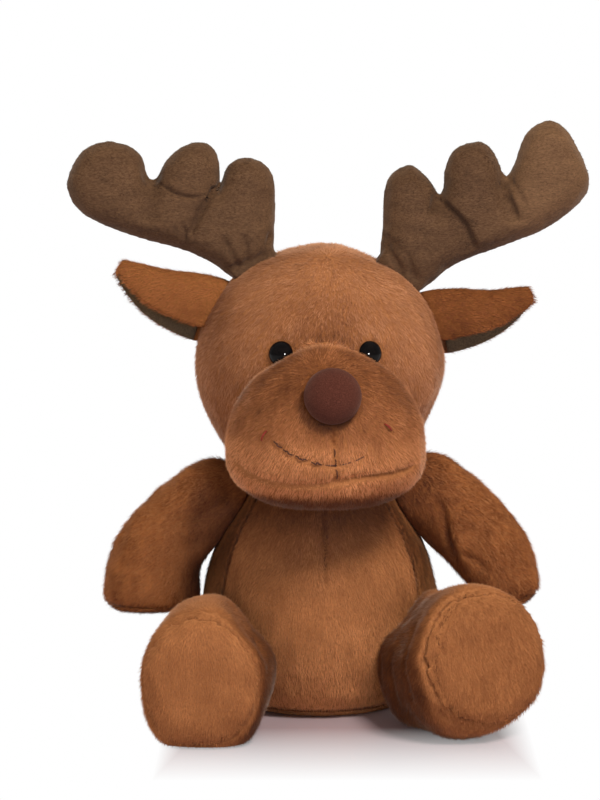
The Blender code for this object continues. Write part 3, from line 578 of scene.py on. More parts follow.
def fur_material(name, root, middle, tip, patch=0.5):
    """Pile of one colour, darker at its roots and lighter at its tips. Each hair and tuft differs a little."""
    material = new_material(name, 0.8, 0.15, 0.12, (1, 0.82, 0.66), 0.35)
    along = add(material, "ShaderNodeAttribute", attribute_name="tip").outputs["Fac"]
    # The shade attribute holds random differences between hairs together with painted light and shade
    shade = add(material, "ShaderNodeAttribute", attribute_name="shade").outputs["Fac"]
    colour = ramp(material, along, (0.0, root), (0.4, middle), (1.0, tip))
    depths = (0.0, (112, 94, 82)), (0.3, (184, 170, 160)), (0.6, (232, 227, 223)), (1.0, WHITE)
    dark = ramp(material, shade, *depths)
    colour = mix(material, 1.0, colour, dark, "MULTIPLY")
    patches = ramp(material, pattern(material, 45, 2), (0.3, (214, 206, 198)), (0.65, WHITE))
    colour = mix(material, patch, colour, mix(material, 1.0, colour, patches, "MULTIPLY"))
    set_colour(material, colour)
    return material


def backing_material(name, dark, light):
    """The knitted backing under the pile, seen between hairs."""
    material = new_material(name, roughness=0.95, specular=0.1)
    fibres = pattern(material, 900, 3, 0.6)
    colour = ramp(material, fibres, (0.3, dark), (0.7, light))
    # Painted shade from the fold attribute: in folds and where the pile is painted darker
    fold = add(material, "ShaderNodeAttribute", attribute_name="fold").outputs["Fac"]
    shade = ramp(material, fold, (0.0, WHITE), (0.5, (176, 160, 150)), (1.0, (120, 100, 88)))
    set_colour(material, mix(material, 1.0, colour, shade, "MULTIPLY"))
    set_bump(material, fibres, 0.5, 0.4 * MM)
    return material


def velvet_material(name, dark, middle, light, weave=(1, 1, 1)):
    """Short smooth nap with faint rows and rubbed patches."""
    material = new_material(name, 0.85, 0.2, 0.2, (1, 0.9, 0.8), 0.4)
    nap = pattern(material, 1500, 3, 0.65, weave)
    patches = pattern(material, 90, 3, 0.55, (0.5, 1, 2) if weave[0] < 1 else None)
    colour = ramp(material, nap, (0.25, dark), (0.5, middle), (0.78, light))
    rubbed = ramp(material, patches, (0.35, (205, 200, 196)), (0.7, WHITE))
    colour = mix(material, 0.6, colour, mix(material, 1.0, colour, rubbed, "MULTIPLY"))
    # Painted shade from the fold attribute: in folds, and the painted light and shade of the antlers
    fold = add(material, "ShaderNodeAttribute", attribute_name="fold").outputs["Fac"]
    shade = ramp(material, fold, (0.0, WHITE), (1.0, (170, 160, 150)))
    set_colour(material, mix(material, 1.0, colour, shade, "MULTIPLY"))
    set_bump(material, nap, 0.4, 0.3 * MM)
    return material


def plain_material(name, roughness, specular, grain, dark, light, bump=0.0):
    """One colour with a fine grain, which is a noise's scale, detail and roughness. Dark and light are the
    stops of its ramp."""
    material = new_material(name, roughness, specular)
    fibres = pattern(material, *grain)
    set_colour(material, ramp(material, fibres, dark, light))
    if bump:
        set_bump(material, fibres, bump, 0.3 * MM)
    return material


def nose_felt():
    material = new_material("nose_felt", 0.9, 0.1, 0.08, (1, 0.7, 0.55))
    felt = pattern(material, 1800, 4, 0.7)
    browns = (0.25, (52, 25, 18)), (0.5, (75, 38, 28)), (0.8, (104, 60, 46))
    set_colour(material, ramp(material, felt, *browns))
    set_bump(material, felt, 0.6, 0.3 * MM)
    return material


def make_materials():
    plain = {
        "eye": ("eye_plastic", 0.05, 0.12, (300, 2), (0.3, (6, 5, 6)), (0.8, (20, 15, 14))),
        "thread": ("thread", 0.7, 0.3, (2500, 2), (0.3, (48, 22, 14)), (0.7, (86, 42, 26))),
        "cotton": (
            "bag_cotton", 0.9, 0.2, (1200, 3, 0.6), (0.3, (196, 184, 160)), (0.7, (222, 214, 196)), 0.5,
        ),
        "plastic": ("washer_plastic", 0.4, 0.5, (200, 2), (0.3, (218, 218, 212)), (0.7, (230, 230, 226))),
        "red_thread": ("end_thread", 0.7, 0.3, (2500, 2), (0.3, (110, 28, 18)), (0.7, (150, 44, 28))),
    }
    return {
        "head": fur_material("head_pile", (172, 110, 70), (210, 146, 102), (228, 166, 122)),
        "muzzle": fur_material("muzzle_pile", (176, 108, 62), (222, 148, 96), (236, 170, 118)),
        "belly": fur_material("belly_pile", (168, 104, 58), (208, 138, 84), (226, 158, 106)),
        "body": fur_material("body_pile", (134, 86, 44), (164, 110, 62), (180, 128, 78)),
        "arm": fur_material("arm_pile", (146, 84, 40), (184, 114, 62), (202, 134, 80)),
        "limb": fur_material("leg_pile", (156, 94, 50), (194, 126, 74), (212, 146, 94)),
        "ear": fur_material("ear_pile", (132, 76, 34), (174, 106, 56), (196, 126, 76)),
        "antler": fur_material("antler_pile", (92, 66, 42), (122, 90, 62), (142, 108, 78), 0.9),
        "backing": backing_material("plush_backing", (140, 88, 50), (172, 112, 68)),
        "ear_backing": backing_material("ear_backing", (118, 70, 34), (146, 92, 50)),
        "velvet": velvet_material("antler_velvet", (80, 56, 35), (108, 78, 52), (130, 98, 68), (0.35, 1, 1)),
        "lining": velvet_material("lining_velvet", (66, 52, 34), (98, 80, 54), (124, 104, 74)),
        "nose": nose_felt(),
        **{key: plain_material(*values) for key, values in plain.items()},
    }


# Pile

# The empty edge of each hair's cell in the texture map
UV_CELLS_EDGE = 0.1
NEAR_BODY = 4 * MM
# How far over the skin a hair's way is looked at, and how far on for other bodies and its own, in millimetres
SKIN_LIFT, OTHERS_CLEAR, OWN_CLEAR = 0.7, 1.4, 1.0
# A hair stands at least this share of its length, or it is left out
SHORTEST = 0.12


def open_shares(skin, tree, others):
    """For each vertex of a skin, 0 where something lies on it, and less than 1 where another body is near."""
    shares = np.ones(len(skin.data.vertices))
    for index, (point, out) in enumerate(zip(points_of(skin).tolist(), normals_of(skin).tolist())):
        out = Vector(out)
        start = Vector(point) + out * SKIN_LIFT * MM
        if others.ray_cast(start, out, OTHERS_CLEAR * MM)[0] is not None:
            shares[index] = 0.3
        elif tree.ray_cast(start, out, OWN_CLEAR * MM)[0] is not None:
            shares[index] = 0
        else:
            away = others.find_nearest(start, NEAR_BODY)[3]
            if away is not None:
                shares[index] = max(away / NEAR_BODY, 0.4)
    return shares


def scatter(skin, tree, others, density, rng):
    """Hair roots over a skin, with their outward directions, shares of full length and how dark each is
    painted: the painted shade of folds and seams, and nearness to a line where the pile parts.
    """
    points, normals, faces = points_of(skin), normals_of(skin), triangles_of(skin)
    corners = points[faces]
    edges = corners[:, 1:] - corners[:, :1]
    areas = np.linalg.norm(np.cross(edges[:, 0], edges[:, 1]), axis=1) / 2
    count = int(areas.sum() * 1e6 * density)
    pick = rng.choice(len(faces), count, p=areas / areas.sum())
    shares = rng.uniform(0, 1, (count, 2))
    flip = shares.sum(1) > 1
    shares[flip] = 1 - shares[flip]
    weights = np.concatenate([1 - shares.sum(1, keepdims=True), shares], axis=1)
    roots = (corners[pick] * weights[:, :, None]).sum(1)
    upward = unit((normals[faces[pick]] * weights[:, :, None]).sum(1))
    share = (open_shares(skin, tree, others)[faces[pick]] * weights).sum(1)
    seam = np.zeros(count)
    # The painted shade of the skin's folds
    if skin.name in PAINTED_FOLD_SHADE:
        seam = (PAINTED_FOLD_SHADE[skin.name][faces[pick]] * weights).sum(1)
    for line, reach, least in PARTED.get(skin.name, ()):
        distance, _, near, _ = from_line(roots, line, reach)
        closeness = 1 - smoothstep(0.25, 1, distance / reach)
        seam[near] = np.maximum(seam[near], closeness)
        share[near] = np.minimum(share[near], 1 - closeness * (1 - least))
    free = share > SHORTEST
    return roots[free], upward[free], share[free], seam[free]


def make_pile(name, skin, tree, others, material, body, slot, comb, seed, density=1.8, length=3.4 * MM,
              lean=20, width=0.36 * MM, tone=None, wild=0.3, coarse=0.25, grain=0.07, fold=0.5,
              rows=(1, 1, 0.3)):
    """Tapered hairs over a skin. Comb gives the lie of the pile, and the painted shading function how much
    lighter or darker it is painted at each root; fold is how much the painted shade along seams and folds
    darkens it.
    """
    rng = np.random.default_rng(seed)
    roots, upward, share, seam = scatter(skin, tree, others, density, rng)
    count = len(roots)
    lie = unit(comb(roots)) + noise_vectors(roots, 24 * MM, seed) * wild
    lie += noise_vectors(roots, 4 * MM, seed + 5) * wild * 0.6 + rng.normal(0, 0.12, (count, 3))
    lie = unit(lie - upward * (lie * upward).sum(1, keepdims=True))
    streak = noise(roots * rows, 1.5 * MM, seed + 9)
    tuft = noise(roots, 7 * MM, seed + 13)
    lift = np.radians(np.clip(lean + rng.normal(0, 6, count) + streak * 5, 6, 60))[:, None]
    size = (length * share * (0.8 + 0.4 * rng.uniform(0, 1, count)))[:, None]
    base = roots - upward * 0.2 * MM
    run = upward * np.sin(lift) + lie * np.cos(lift)
    side = unit(np.cross(upward, lie) + upward * rng.normal(0, 0.22, (count, 1)))
    wide = (width * (0.75 + 0.5 * rng.uniform(0, 1, count)) / 2)[:, None]
    hairs = np.stack([base - side * wide, base + side * wide, base + run * size], axis=1)
    hairs[:, :, 2] = np.maximum(hairs[:, :, 2], 0)
    own = np.cross(hairs[:, 1] - hairs[:, 0], hairs[:, 2] - hairs[:, 0])
    turned = (own * upward).sum(1) < 0
    hairs[turned] = hairs[turned][:, [1, 0, 2]]
    shown = upward + lie * 0.12 + noise_vectors(roots, 1.5 * MM, seed + 21) * 0.08
    shown = unit(shown + noise_vectors(roots * (1, 1, 0.5), 5 * MM, seed + 31) * coarse)
    rough = noise(roots * rows, 2.6 * MM, seed + 17) * coarse
    # Painted shade of seams and folds, and the painted light and shade of each root, added to random
    # differences between hairs
    shade = 0.6 + rng.normal(0, grain, count) + streak * 0.08 + tuft * 0.11 + rough * 0.25 - seam * fold
    if tone:
        shade += tone(roots, upward)
    piece = link(name, hair_mesh(name, hairs, shown, np.clip(shade, 0, 1)))
    piece.data.materials.append(material)
    if body:
        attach(piece, body)
    return piece


def hair_mesh(name, hairs, shown, shade):
    """One triangle for each hair, with its shade, its shown normal and its own cell of the texture map."""
    count = len(hairs)
    mesh = mesh_from(name, hairs.reshape(-1, 3), np.arange(count * 3).reshape(-1, 3))
    put_values(mesh, "tip", np.tile((0, 0, 1), count))
    put_values(mesh, "shade", np.repeat(shade, 3))
    cells = math.ceil(math.sqrt(count))
    low, high = UV_CELLS_EDGE, 1 - UV_CELLS_EDGE
    corner = np.array(((low, low), (high, low), (0.5, high)))
    cell = np.stack([np.arange(count) % cells, np.arange(count) // cells], axis=1)
    uv = (cell[:, None, :] + corner[None]) / cells
    mesh.uv_layers.new(name="OFBake").data.foreach_set("uv", uv.astype(np.float32).ravel())
    mesh.normals_split_custom_set_from_vertices(np.repeat(shown, 3, axis=0).tolist())
    return mesh


def put_values(mesh, name, values):
    """One number for each point, which a material can read."""
    mesh.attributes.new(name, "FLOAT", "POINT").data.foreach_set("value", values.astype(np.float32))


def shade_skin(skin, tone):
    """Paints shade into the skin: the painted shade of its folds, weaker except on the antlers, made darker or
    lighter by the painted light and shade of its pile.
    """
    painted_shade = PAINTED_FOLD_SHADE.get(skin.name, np.zeros(len(skin.data.vertices)))
    if not skin.name.startswith("antler"):
        painted_shade = painted_shade * 0.4
    if tone:
        painted_shade = painted_shade - tone(points_of(skin), normals_of(skin))
    put_values(skin.data, "fold", np.clip(painted_shade, 0, 1))


def dress(piece, material, body, slot, *nodes, fill=None):
    """Gives a piece its material, rides it on its body and hides the nodes it replaces. Slot and fill are not
    used.
    """
    piece.data.materials.clear()
    piece.data.materials.append(material)
    if body:
        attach(piece, body)
    if nodes:
        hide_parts(*nodes)


# Skins

RIM_POINTS = 48
BALL_DETAIL = 6


def head_shape(ball_points):
    points = HEAD_CENTRE + unit(ball_points) * HEAD_RADIUS
    floor, ease = NECK_HEIGHT + NECK_GAP, 4 * MM
    below = points[:, 2] < floor + ease
    depth = np.clip((floor + ease - points[below, 2]) / ease, 0, None)
    points[below, 2] = floor + ease * np.exp(-depth)
    return turned_head(points)


def muzzle_shape(ball_points):
    x, y, z = unit(ball_points).T
    level = np.hypot(x, y)
    full = np.ones(len(x))
    low = (z < 0) & (level > 1e-9)
    full[low] = np.maximum(1 - np.abs(z[low]) ** MUZZLE_FULLNESS, 0) ** (1 / MUZZLE_FULLNESS) / level[low]
    points = MUZZLE_CENTRE + np.stack([
        x * full * MUZZLE_HALF_WIDTH,
        y * full * np.where(y < 0, MUZZLE_FRONT, MUZZLE_BACK),
        z * np.where(z > 0, MUZZLE_TOP, MUZZLE_DROP),
    ], axis=1)
    away = points - HEAD_CENTRE
    distance = np.linalg.norm(away, axis=1, keepdims=True)
    limit = HEAD_RADIUS + HEAD_GAP
    points = np.where(distance < limit, HEAD_CENTRE + away / np.maximum(distance, 1e-9) * limit, points)
    seat, outward = nose_seat()
    local = points - seat
    deep = local @ outward
    across = np.linalg.norm(local - deep[:, None] * outward, axis=1)
    inside = np.clip(1 - (across / (NOSE_RADIUS + NOSE_GAP)) ** 2, 0, None)
    bed = -(NOSE_DEPTH + NOSE_GAP) * np.sqrt(inside)
    sink = np.where((across < NOSE_RADIUS) & (deep > bed) & (deep < NOSE_REACH), deep - bed, 0)
    points -= outward * sink[:, None]
    return turned_head(points)


def nose_seat():
    """The middle of the nose's back edge and its outward direction, before the head turns."""
    forward, rise = math.cos(NOSE_ANGLE), math.sin(NOSE_ANGLE)
    outward = unit(np.array((0, -forward / MUZZLE_FRONT, rise / MUZZLE_TOP)))
    seat = MUZZLE_CENTRE + np.array((NOSE_OFFSET, -forward * MUZZLE_FRONT, rise * MUZZLE_TOP))
    return seat + outward * (NOSE_DEPTH - NOSE_SINK), outward


def frame_at(place, outward, sideways):
    outward, sideways = Vector(outward).normalized(), Vector(sideways).normalized()
    upward = outward.cross(sideways).normalized()
    turn = Matrix((upward.cross(outward), upward, outward)).transposed().to_4x4()
    return Matrix.Rotation(HEAD_TURN, 4, "Z") @ Matrix.Translation(Vector(place)) @ turn


def eye_place(side):
    """The middle of an eye on the head and its outward direction. Side is -1 for the left eye."""
    across = side * EYE_SPACING / 2
    forward = math.sqrt(HEAD_RADIUS**2 - across**2 - EYE_RISE**2)
    normal = Vector((across, -forward, EYE_RISE)).normalized()
    return Vector(HEAD_CENTRE) + normal * (HEAD_RADIUS - EYE_SINK), normal


def dome(radius, height, last_turn, steps):
    """The profile of a dome, from its top on the axis."""
    turns = np.linspace(math.pi / 2, last_turn, steps)
    return [(0, height)] + [(radius * math.cos(turn), height * math.sin(turn)) for turn in turns[1:]]


def ribbed_shank(start, end):
    """The profile of a shank that a washer is pressed on to: its ribs and its flat end."""
    profile = []
    for rib in range(RIBS):
        height = start - rib * RIB_PITCH
        profile += [(SHANK_RADIUS, height), (RIB_RADIUS, height - RIB_PITCH / 2)]
    return profile + [(SHANK_RADIUS, end), (0, end)]


def make_eye(name, side, materials):
    place, normal = eye_place(side)
    matrix = frame_at(place, normal, Vector((0, 0, 1)).cross(normal))
    shank = ribbed_shank(EYE_BACK[-1][1] - RIB_START, -SHANK_LENGTH)
    eye = lathe(f"eye_dome_{name}", [*dome(EYE_RADIUS, EYE_DOME, 0, 12), *EYE_BACK, *shank], matrix)
    dress(eye, materials["eye"], "head", "eye_black", f"eye_{name}")


def make_nose(materials):
    seat, outward = nose_seat()
    ball_profile = dome(NOSE_RADIUS, NOSE_DEPTH, -math.acos(SHANK_RADIUS / NOSE_RADIUS), 40)
    drop = ball_profile[-1][1]
    shank = ribbed_shank(drop - RIB_START, drop - SHANK_LENGTH)
    nose = lathe("nose_ball", ball_profile + shank, frame_at(seat, outward, (1, 0, 0)), 96)
    dress(nose, materials["nose"], "head", "nose_brown", "nose")


def rim(node):
    """The outline of a flat-backed pad, as a closed line."""
    points = points_of(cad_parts[node])
    centre = points.mean(0)
    out, first, second = np.linalg.eigh(np.cov((points - centre).T))[1].T
    heights = (points - centre) @ out
    if abs(heights.max()) < abs(heights.min()):
        out, heights = -out, -heights
    flat = np.stack([(points - centre) @ first, (points - centre) @ second], axis=1)
    turn = np.arctan2(flat[:, 1], flat[:, 0])
    radius = np.linalg.norm(flat, axis=1)
    line = []
    for index in range(RIM_POINTS):
        target = -math.pi + 2 * math.pi * (index + 0.5) / RIM_POINTS
        gap = np.abs((turn - target + math.pi) % (2 * math.pi) - math.pi)
        best = np.argmax(radius - gap * radius.max() * 1.2)
        place = centre + first * math.cos(target) * radius[best] + second * math.sin(target) * radius[best]
        line.append(place + out * heights[best])
    line.append(line[0])
    return np.array(line)


def comb_along(direction):
    return lambda roots: np.tile(np.array(direction, float), (len(roots), 1))


def comb_from(crown):
    return lambda roots: unit(roots - crown)


# Places of folds and seams, as the camera sees them: pixels across and down

# Each fold: its places, then width, depth and step in millimetres
ANTLER_FOLDS = {
    "left": (
        (((214, 189), (206, 202), (196, 220), (187, 240)), 1.3, 1.6, -1.2),
        (((209, 190), (200, 204), (190, 222), (180, 242)), 3.4, 1.7, 0.0),
        (((152, 180), (152, 192), (149, 206), (150, 228)), 4.2, 2.4, 0.0),
        (((153, 179), (152, 188), (150, 202)), 1.2, 1.2, 0.0),
        (((166, 187), (175, 193), (185, 196), (195, 197), (207, 194)), 1.2, 1.1, 0.7),
        (((183, 226), (186, 236), (184, 250)), 1.1, 1.2, 0.0),
        (((224, 240), (233, 256), (240, 276)), 1.6, 1.2, 0.0),
        (((244, 238), (248, 256), (247, 272)), 1.4, 1.0, 0.0),
        (((270, 236), (264, 254), (257, 270)), 1.6, 1.2, 0.0),
        (((230, 268), (244, 264), (258, 258), (273, 252)), 1.3, 1.0, 0.0),
        (((262, 196), (258, 214), (262, 232)), 3.4, 0.8, 0.0),
    ),
    "right": (
        (((438, 200), (434, 208), (428, 219)), 1.3, 1.4, 0.7),
        (((439, 199), (441, 212), (441, 230)), 2.6, 1.2, 0.0),
        (((443, 202), (454, 212), (465, 223), (471, 236), (477, 250)), 1.3, 1.6, 1.0),
        (((440, 204), (450, 216), (460, 228), (466, 242), (470, 252)), 3.4, 1.6, 0.0),
        (((505, 182), (509, 197), (515, 210), (521, 224)), 1.2, 1.5, 0.9),
        (((502, 184), (505, 200), (510, 216), (514, 228)), 3.2, 1.5, 0.0),
        (((511, 181), (518, 190), (524, 201), (527, 212)), 1.3, 1.3, 0.0),
        (((388, 246), (396, 262), (406, 280)), 1.6, 1.2, 0.0),
        (((384, 236), (396, 244), (406, 256)), 1.5, 0.9, 0.0),
        (((408, 256), (412, 270), (417, 286)), 1.4, 1.0, 0.0),
        (((474, 244), (468, 250), (460, 256)), 1.2, 1.0, 0.0),
    ),
}
# Each seam: its places, then width, depth and pucker in millimetres
MUZZLE_SEAMS = (
    (((333, 424), (334, 440), (336, 460), (337, 486)), 1.0, 1.0, 0.0),
    (((236, 462), (246, 471), (262, 479), (290, 485), (320, 485), (350, 480)), 1.8, 1.3, 0.4),
    (((326, 484), (345, 480), (370, 476), (392, 473), (414, 466)), 1.5, 2.1, 0.5),
)
SMILE = (
    (274, 441), (281, 447), (289, 453), (300, 458), (312, 462), (323, 465), (334, 466), (346, 464),
    (358, 460), (368, 454),
)
# The crown seam's ends, in degrees up from the front
CROWN_SEAM = (80, 205)
CROWN_OFFSET = 0.004
SEAM_STITCHES = (((334, 449), (334.5, 457)), ((335, 459), (335.5, 467)), ((336, 469), (336.5, 478)))
SMILE_ENDS = (((267, 431), (262, 441)), ((384, 424), (391, 431)))
BELLY_SEAM = ((324, 512), (326, 540), (325, 580))
FOREHEAD = HEAD_CENTRE + np.array((0, -0.058, 0.03))
# Pulls: their place in metres, then reach and move in millimetres. The head's places are from its centre
HEAD_MOVES = (
    ((0.058, -0.01, -0.028), 22, (-2.6, 0, 1)), ((0.058, -0.01, -0.02), 16, (-2.8, 0, 0)),
    ((-0.056, -0.01, -0.032), 20, (1.6, 0, 1)), ((-0.017, 0, 0.063), 14, (0, 0, -2.6)),
    ((0.026, 0, 0.06), 14, (0, 0, -3.6)), ((0.056, -0.01, -0.034), 14, (-1.6, 0, 0)),
)
LIMB_MOVES = {
    ("leg", "left"): (
        ((-0.076, -0.095, 0.006), 17, (-3.4, -1, -5)), ((-0.042, -0.095, 0.004), 16, (3, -1, -4)),
        ((-0.092, -0.08, 0.055), 18, (3.2, 0, -1)),
        ((-0.026, -0.085, 0.061), 20, (-6.5, 0, -6)), ((-0.026, -0.05, 0.061), 20, (-6.5, 0, -6)),
    ),
    ("leg", "right"): (
        ((0.114, -0.085, 0.055), 28, (2.8, 0, 0.5)), ((0.03, -0.075, 0.01), 14, (-1, 0, -2)),
        ((0.04, -0.06, 0.008), 16, (-2, -1, -6)), ((0.062, -0.09, 0.003), 22, (0, -1.5, -4)),
        ((0.067, -0.05, 0.062), 12, (0, 0, -4)), ((0.112, -0.09, 0.022), 16, (2.8, 0, 0)),
        ((0.036, -0.085, 0.062), 20, (6.5, 0, -6.5)), ((0.036, -0.05, 0.062), 20, (6.5, 0, -6.5)),
        ((0.058, -0.1, 0.045), 24, (-7, 0, 0)), ((0.066, -0.098, 0.073), 16, (-4, 0, 0)),
        ((0.066, -0.1, 0.019), 16, (-4, 0, 0)),
    ),
    ("arm", "left"): (
        ((-0.058, 0, 0.128), 14, (0, 0, 3.8)), ((-0.11, 0, 0.062), 24, (-0.9, 0, -2.6)),
        ((-0.11, 0, 0.088), 16, (-1.4, 0, 0.3)),
        *(((-0.0575, depth, 0.072), 12, (-4, 0, 0)) for depth in (-0.014, 0, 0.014)),
    ),
    ("arm", "right"): (
        ((0.066, -0.005, 0.075), 14, (4.4, 0, 1.2)), ((0.059, 0, 0.127), 16, (0, 0, 6.8)),
        ((0.106, 0, 0.095), 20, (1, 0, 0.5)), ((0.072, 0, 0.126), 14, (0, 0, 1.6)),
        ((0.1155, 0, 0.06), 12, (-2, 0, 0)),
        *(((0.0755, depth, 0.058), 10, (4.6, 0, 0)) for depth in (-0.012, 0, 0.012)),
    ),
    ("antler", "left"): (
        ((-0.0655, 0, 0.2966), 10, (0.6, 0, 1.6)), ((-0.037, 0, 0.2886), 10, (0.3, 0, 0.6)),
        ((-0.025, 0, 0.2726), 10, (0.9, 0, 0)), ((-0.09, 0, 0.247), 24, (0, 0, -0.6)),
        ((-0.0545, 0, 0.2755), 6, (0.3, 0, -3.4)), ((-0.0585, 0, 0.292), 7, (1.6, 0, 0.5)),
        ((-0.118, 0, 0.262), 16, (-0.3, 0, -1)), ((-0.067, 0, 0.241), 14, (0, 0, -0.9)),
    ),
    ("antler", "right"): (
        ((0.0708, 0, 0.2939), 10, (-1.2, 0, 1.4)), ((0.0408, 0, 0.2843), 8, (1, 0, -0.4)),
        ((0.055, 0, 0.2753), 7, (0.8, 0, 0.5)), ((0.139, 0, 0.2753), 15, (2.2, 0, 0)),
        ((0.13, 0, 0.296), 12, (1, 0, 0)),
        ((0.1155, 0, 0.2524), 18, (0.9, 0, -1.8)), ((0.0866, 0, 0.2397), 14, (0.3, 0, -1)),
        ((0.066, 0, 0.293), 7, (-1.2, 0, 0.3)),
    ),
    ("ear", "left"): (
        ((-0.079, 0, 0.232), 20, (0, 0, 1.6)), ((-0.06, 0, 0.228), 12, (0, 0, 1.6)),
        ((-0.104, 0, 0.228), 12, (-1.8, 0, 0.6)), ((-0.08, -0.01, 0.199), 12, (0, 0, 1.2)),
    ),
    ("ear", "right"): (
        ((0.076, 0, 0.2215), 18, (0, 0, 2.6)), ((0.062, 0, 0.222), 12, (0, 0, 1.6)),
        ((0.11, 0, 0.213), 8, (1.6, 0, -1.4)), ((0.105, 0, 0.221), 10, (0, 0, 1.2)),
        ((0.08, -0.01, 0.189), 12, (0, 0, 2)),
    ),
}
# Each fold: its places, then width and depth in millimetres
BELLY_FOLDS = (
    (((250, 552), (290, 557), (330, 550), (370, 552), (400, 564)), 9.0, 0.6),
    (((372, 600), (350, 608), (316, 604), (280, 610)), 9.0, 0.6),
    (((268, 660), (290, 672), (318, 670)), 8.0, 0.9),
    (((372, 690), (352, 684), (338, 662)), 5.0, 1.0),
)
ARM_FOLDS = {
    "right": (
        (((434, 492), (443, 508), (446, 530), (450, 548), (457, 566), (464, 580)), 2.2, 2.2),
        (((446, 512), (456, 503), (470, 499)), 3.0, 1.6),
        (((474, 500), (462, 508), (455, 520), (453, 532), (458, 546), (463, 558), (466, 570)), 2.2, -1.5),
        (((452, 548), (462, 553), (475, 560), (492, 573)), 2.0, 1.6),
        (((458, 536), (470, 530), (486, 534)), 3.2, 1.2),
        (((500, 596), (512, 592), (524, 586)), 2.6, 1.4),
    ),
    "left": (
        (((238, 480), (222, 498), (206, 512), (188, 518), (170, 514)), 5.0, 2.2),
        (((212, 530), (196, 541), (178, 542)), 3.6, 1.3),
        (((118, 560), (140, 566), (160, 562)), 4.2, 0.9),
    ),
}
LEG_FOLDS = {
    "right": (
        (((404, 612), (394, 645), (392, 680), (398, 708)), 3.4, 1.9),
        (((416, 622), (408, 650), (406, 680), (414, 706)), 3.0, 1.7),
        (((384, 644), (380, 664), (383, 690)), 3.0, 1.3),
        (((430, 700), (444, 716), (462, 726), (486, 728)), 2.4, 1.4),
    ),
    "left": (
        (((170, 604), (200, 597), (234, 606)), 3.0, 1.0),
        (((150, 640), (146, 660), (150, 690)), 2.4, 1.4),
        (((250, 630), (260, 650), (264, 680)), 2.4, 1.2),
    ),
}


def behind(tree, places):
    """The same places on the skin's back."""
    found = []
    for x, y, z in places:
        hit = tree.ray_cast(Vector((x, y + 0.2, z)), Vector((0, -1, 0)))[0]
        if hit is not None:
            found.append(hit)
    return np.array(found)


def panel_line(tree, side):
    """The belly panel's seam up one side of the body."""
    line = []
    outward = Vector((math.sin(side * PANEL_ANGLE), -math.cos(PANEL_ANGLE), 0))
    for height in np.linspace(5 * MM, NECK_HEIGHT - 4 * MM, 44):
        hit = tree.ray_cast(Vector((0, 0, height)), outward)[0]
        if hit is not None:
            line.append(hit)
    return np.array(line)


# The belly panel: where it starts, its rounded edge, its thickness and how far the body sinks under it
BELLY_START, BELLY_EDGE, BELLY_THICKNESS, BELLY_SINK = 4 * MM, 1.6 * MM, 1.2 * MM, 1.9 * MM


def make_belly(torso):
    """The belly panel, taken off the body's front as a layer with rounded edges. The body sinks under it."""
    points, normals, faces = points_of(torso), normals_of(torso), triangles_of(torso)
    turn = np.abs(np.arctan2(points[:, 0], -points[:, 1]))
    reach = np.hypot(points[:, 0], points[:, 1])
    edge = (PANEL_ANGLE - turn) * reach
    low = points[:, 2] - BELLY_START
    inside = (edge > 0.2 * MM) & (low > 0)
    keep = inside[faces].all(1)
    used = np.unique(faces[keep])
    renumber = np.full(len(points), -1)
    renumber[used] = np.arange(len(used))
    border = np.minimum(edge, low)
    rise = 0.5 * MM - BELLY_EDGE * np.exp(-((border / BELLY_EDGE) ** 2))
    outer = points + normals * rise[:, None]
    belly = link("belly_skin", mesh_from("belly_skin", outer[used], renumber[faces[keep]]))
    layer = belly.modifiers.new("layer", "SOLIDIFY")
    layer.thickness = BELLY_THICKNESS
    layer.offset = -1
    evaluated(belly)
    sunk = BELLY_SINK * smoothstep(-BELLY_EDGE, 0.4 * MM, edge)
    set_points(torso, points - normals * sunk[:, None])
    return belly


def ring_about(place, first, second, radius):
    """A closed ring on the head, about a place and in the plane of two directions."""
    turns = np.linspace(0, 2 * math.pi, 24)
    ring = [place + (first * math.cos(turn) + second * math.sin(turn)) * radius for turn in turns]
    return turned_head(np.array(ring))


def head_seams(head, muzzle):
    """The crown seam, and the pile parted round the eyes and the nose."""
    turns = np.radians(np.linspace(*CROWN_SEAM, 30))
    line = [(CROWN_OFFSET, -HEAD_RADIUS * math.cos(turn), HEAD_RADIUS * math.sin(turn)) for turn in turns]
    crease(head, turned_head(HEAD_CENTRE + np.array(line)), 1.3 * MM, 0.8 * MM, fade=10 * MM)
    for side in SIDES.values():
        place, normal = eye_place(side)
        first = normal.cross(Vector((0, 0, 1))).normalized()
        ring = ring_about(place, first, normal.cross(first), EYE_RADIUS + 0.8 * MM)
        part_pile(head, ring, 2.6 * MM, 0.3)
        part_pile(muzzle, ring, 5 * MM, 0.15)
    seat, outward = nose_seat()
    first = unit(np.cross(outward, (0, 0, 1)))
    part_pile(muzzle, ring_about(seat, first, np.cross(outward, first), NOSE_RADIUS), 3 * MM, 0.5)


def muzzle_seams(muzzle):
    tree = tree_of(muzzle)
    for pixels, width, depth, pucker in MUZZLE_SEAMS:
        line = cast(tree, pixels)
        crease(muzzle, line, width * MM, depth * MM, 4 * MM, pucker * MM)
        part_pile(muzzle, line, 2.8 * MM, 0.15)
    line = cast(tree, SMILE)
    crease(muzzle, line, 1.0 * MM, 0.7 * MM, 4 * MM)
    part_pile(muzzle, line[:7], 1.8 * MM, 0.25)
    for ends in SMILE_ENDS:
        part_pile(muzzle, cast(tree, ends), 1.6 * MM, 0.25)


def belly_seams(torso, belly):
    tree = tree_of(torso)
    for side in SIDES.values():
        line = panel_line(tree, side)
        crease(torso, line, 1.3 * MM, 1.2 * MM, 0, 0.4 * MM, seed=3 + side)
        for skin in (torso, belly):
            part_pile(skin, line, 2.6 * MM, 0.3)
    tree = tree_of(belly)
    middle = cast(tree, BELLY_SEAM)
    crease(belly, middle, 1.2 * MM, 0.9 * MM, 10 * MM)
    part_pile(belly, middle, 1.4 * MM, 0.6)
    for pixels, width, depth in BELLY_FOLDS:
        crease(belly, cast(tree, pixels), width * MM, depth * MM, 20 * MM, dark=0)


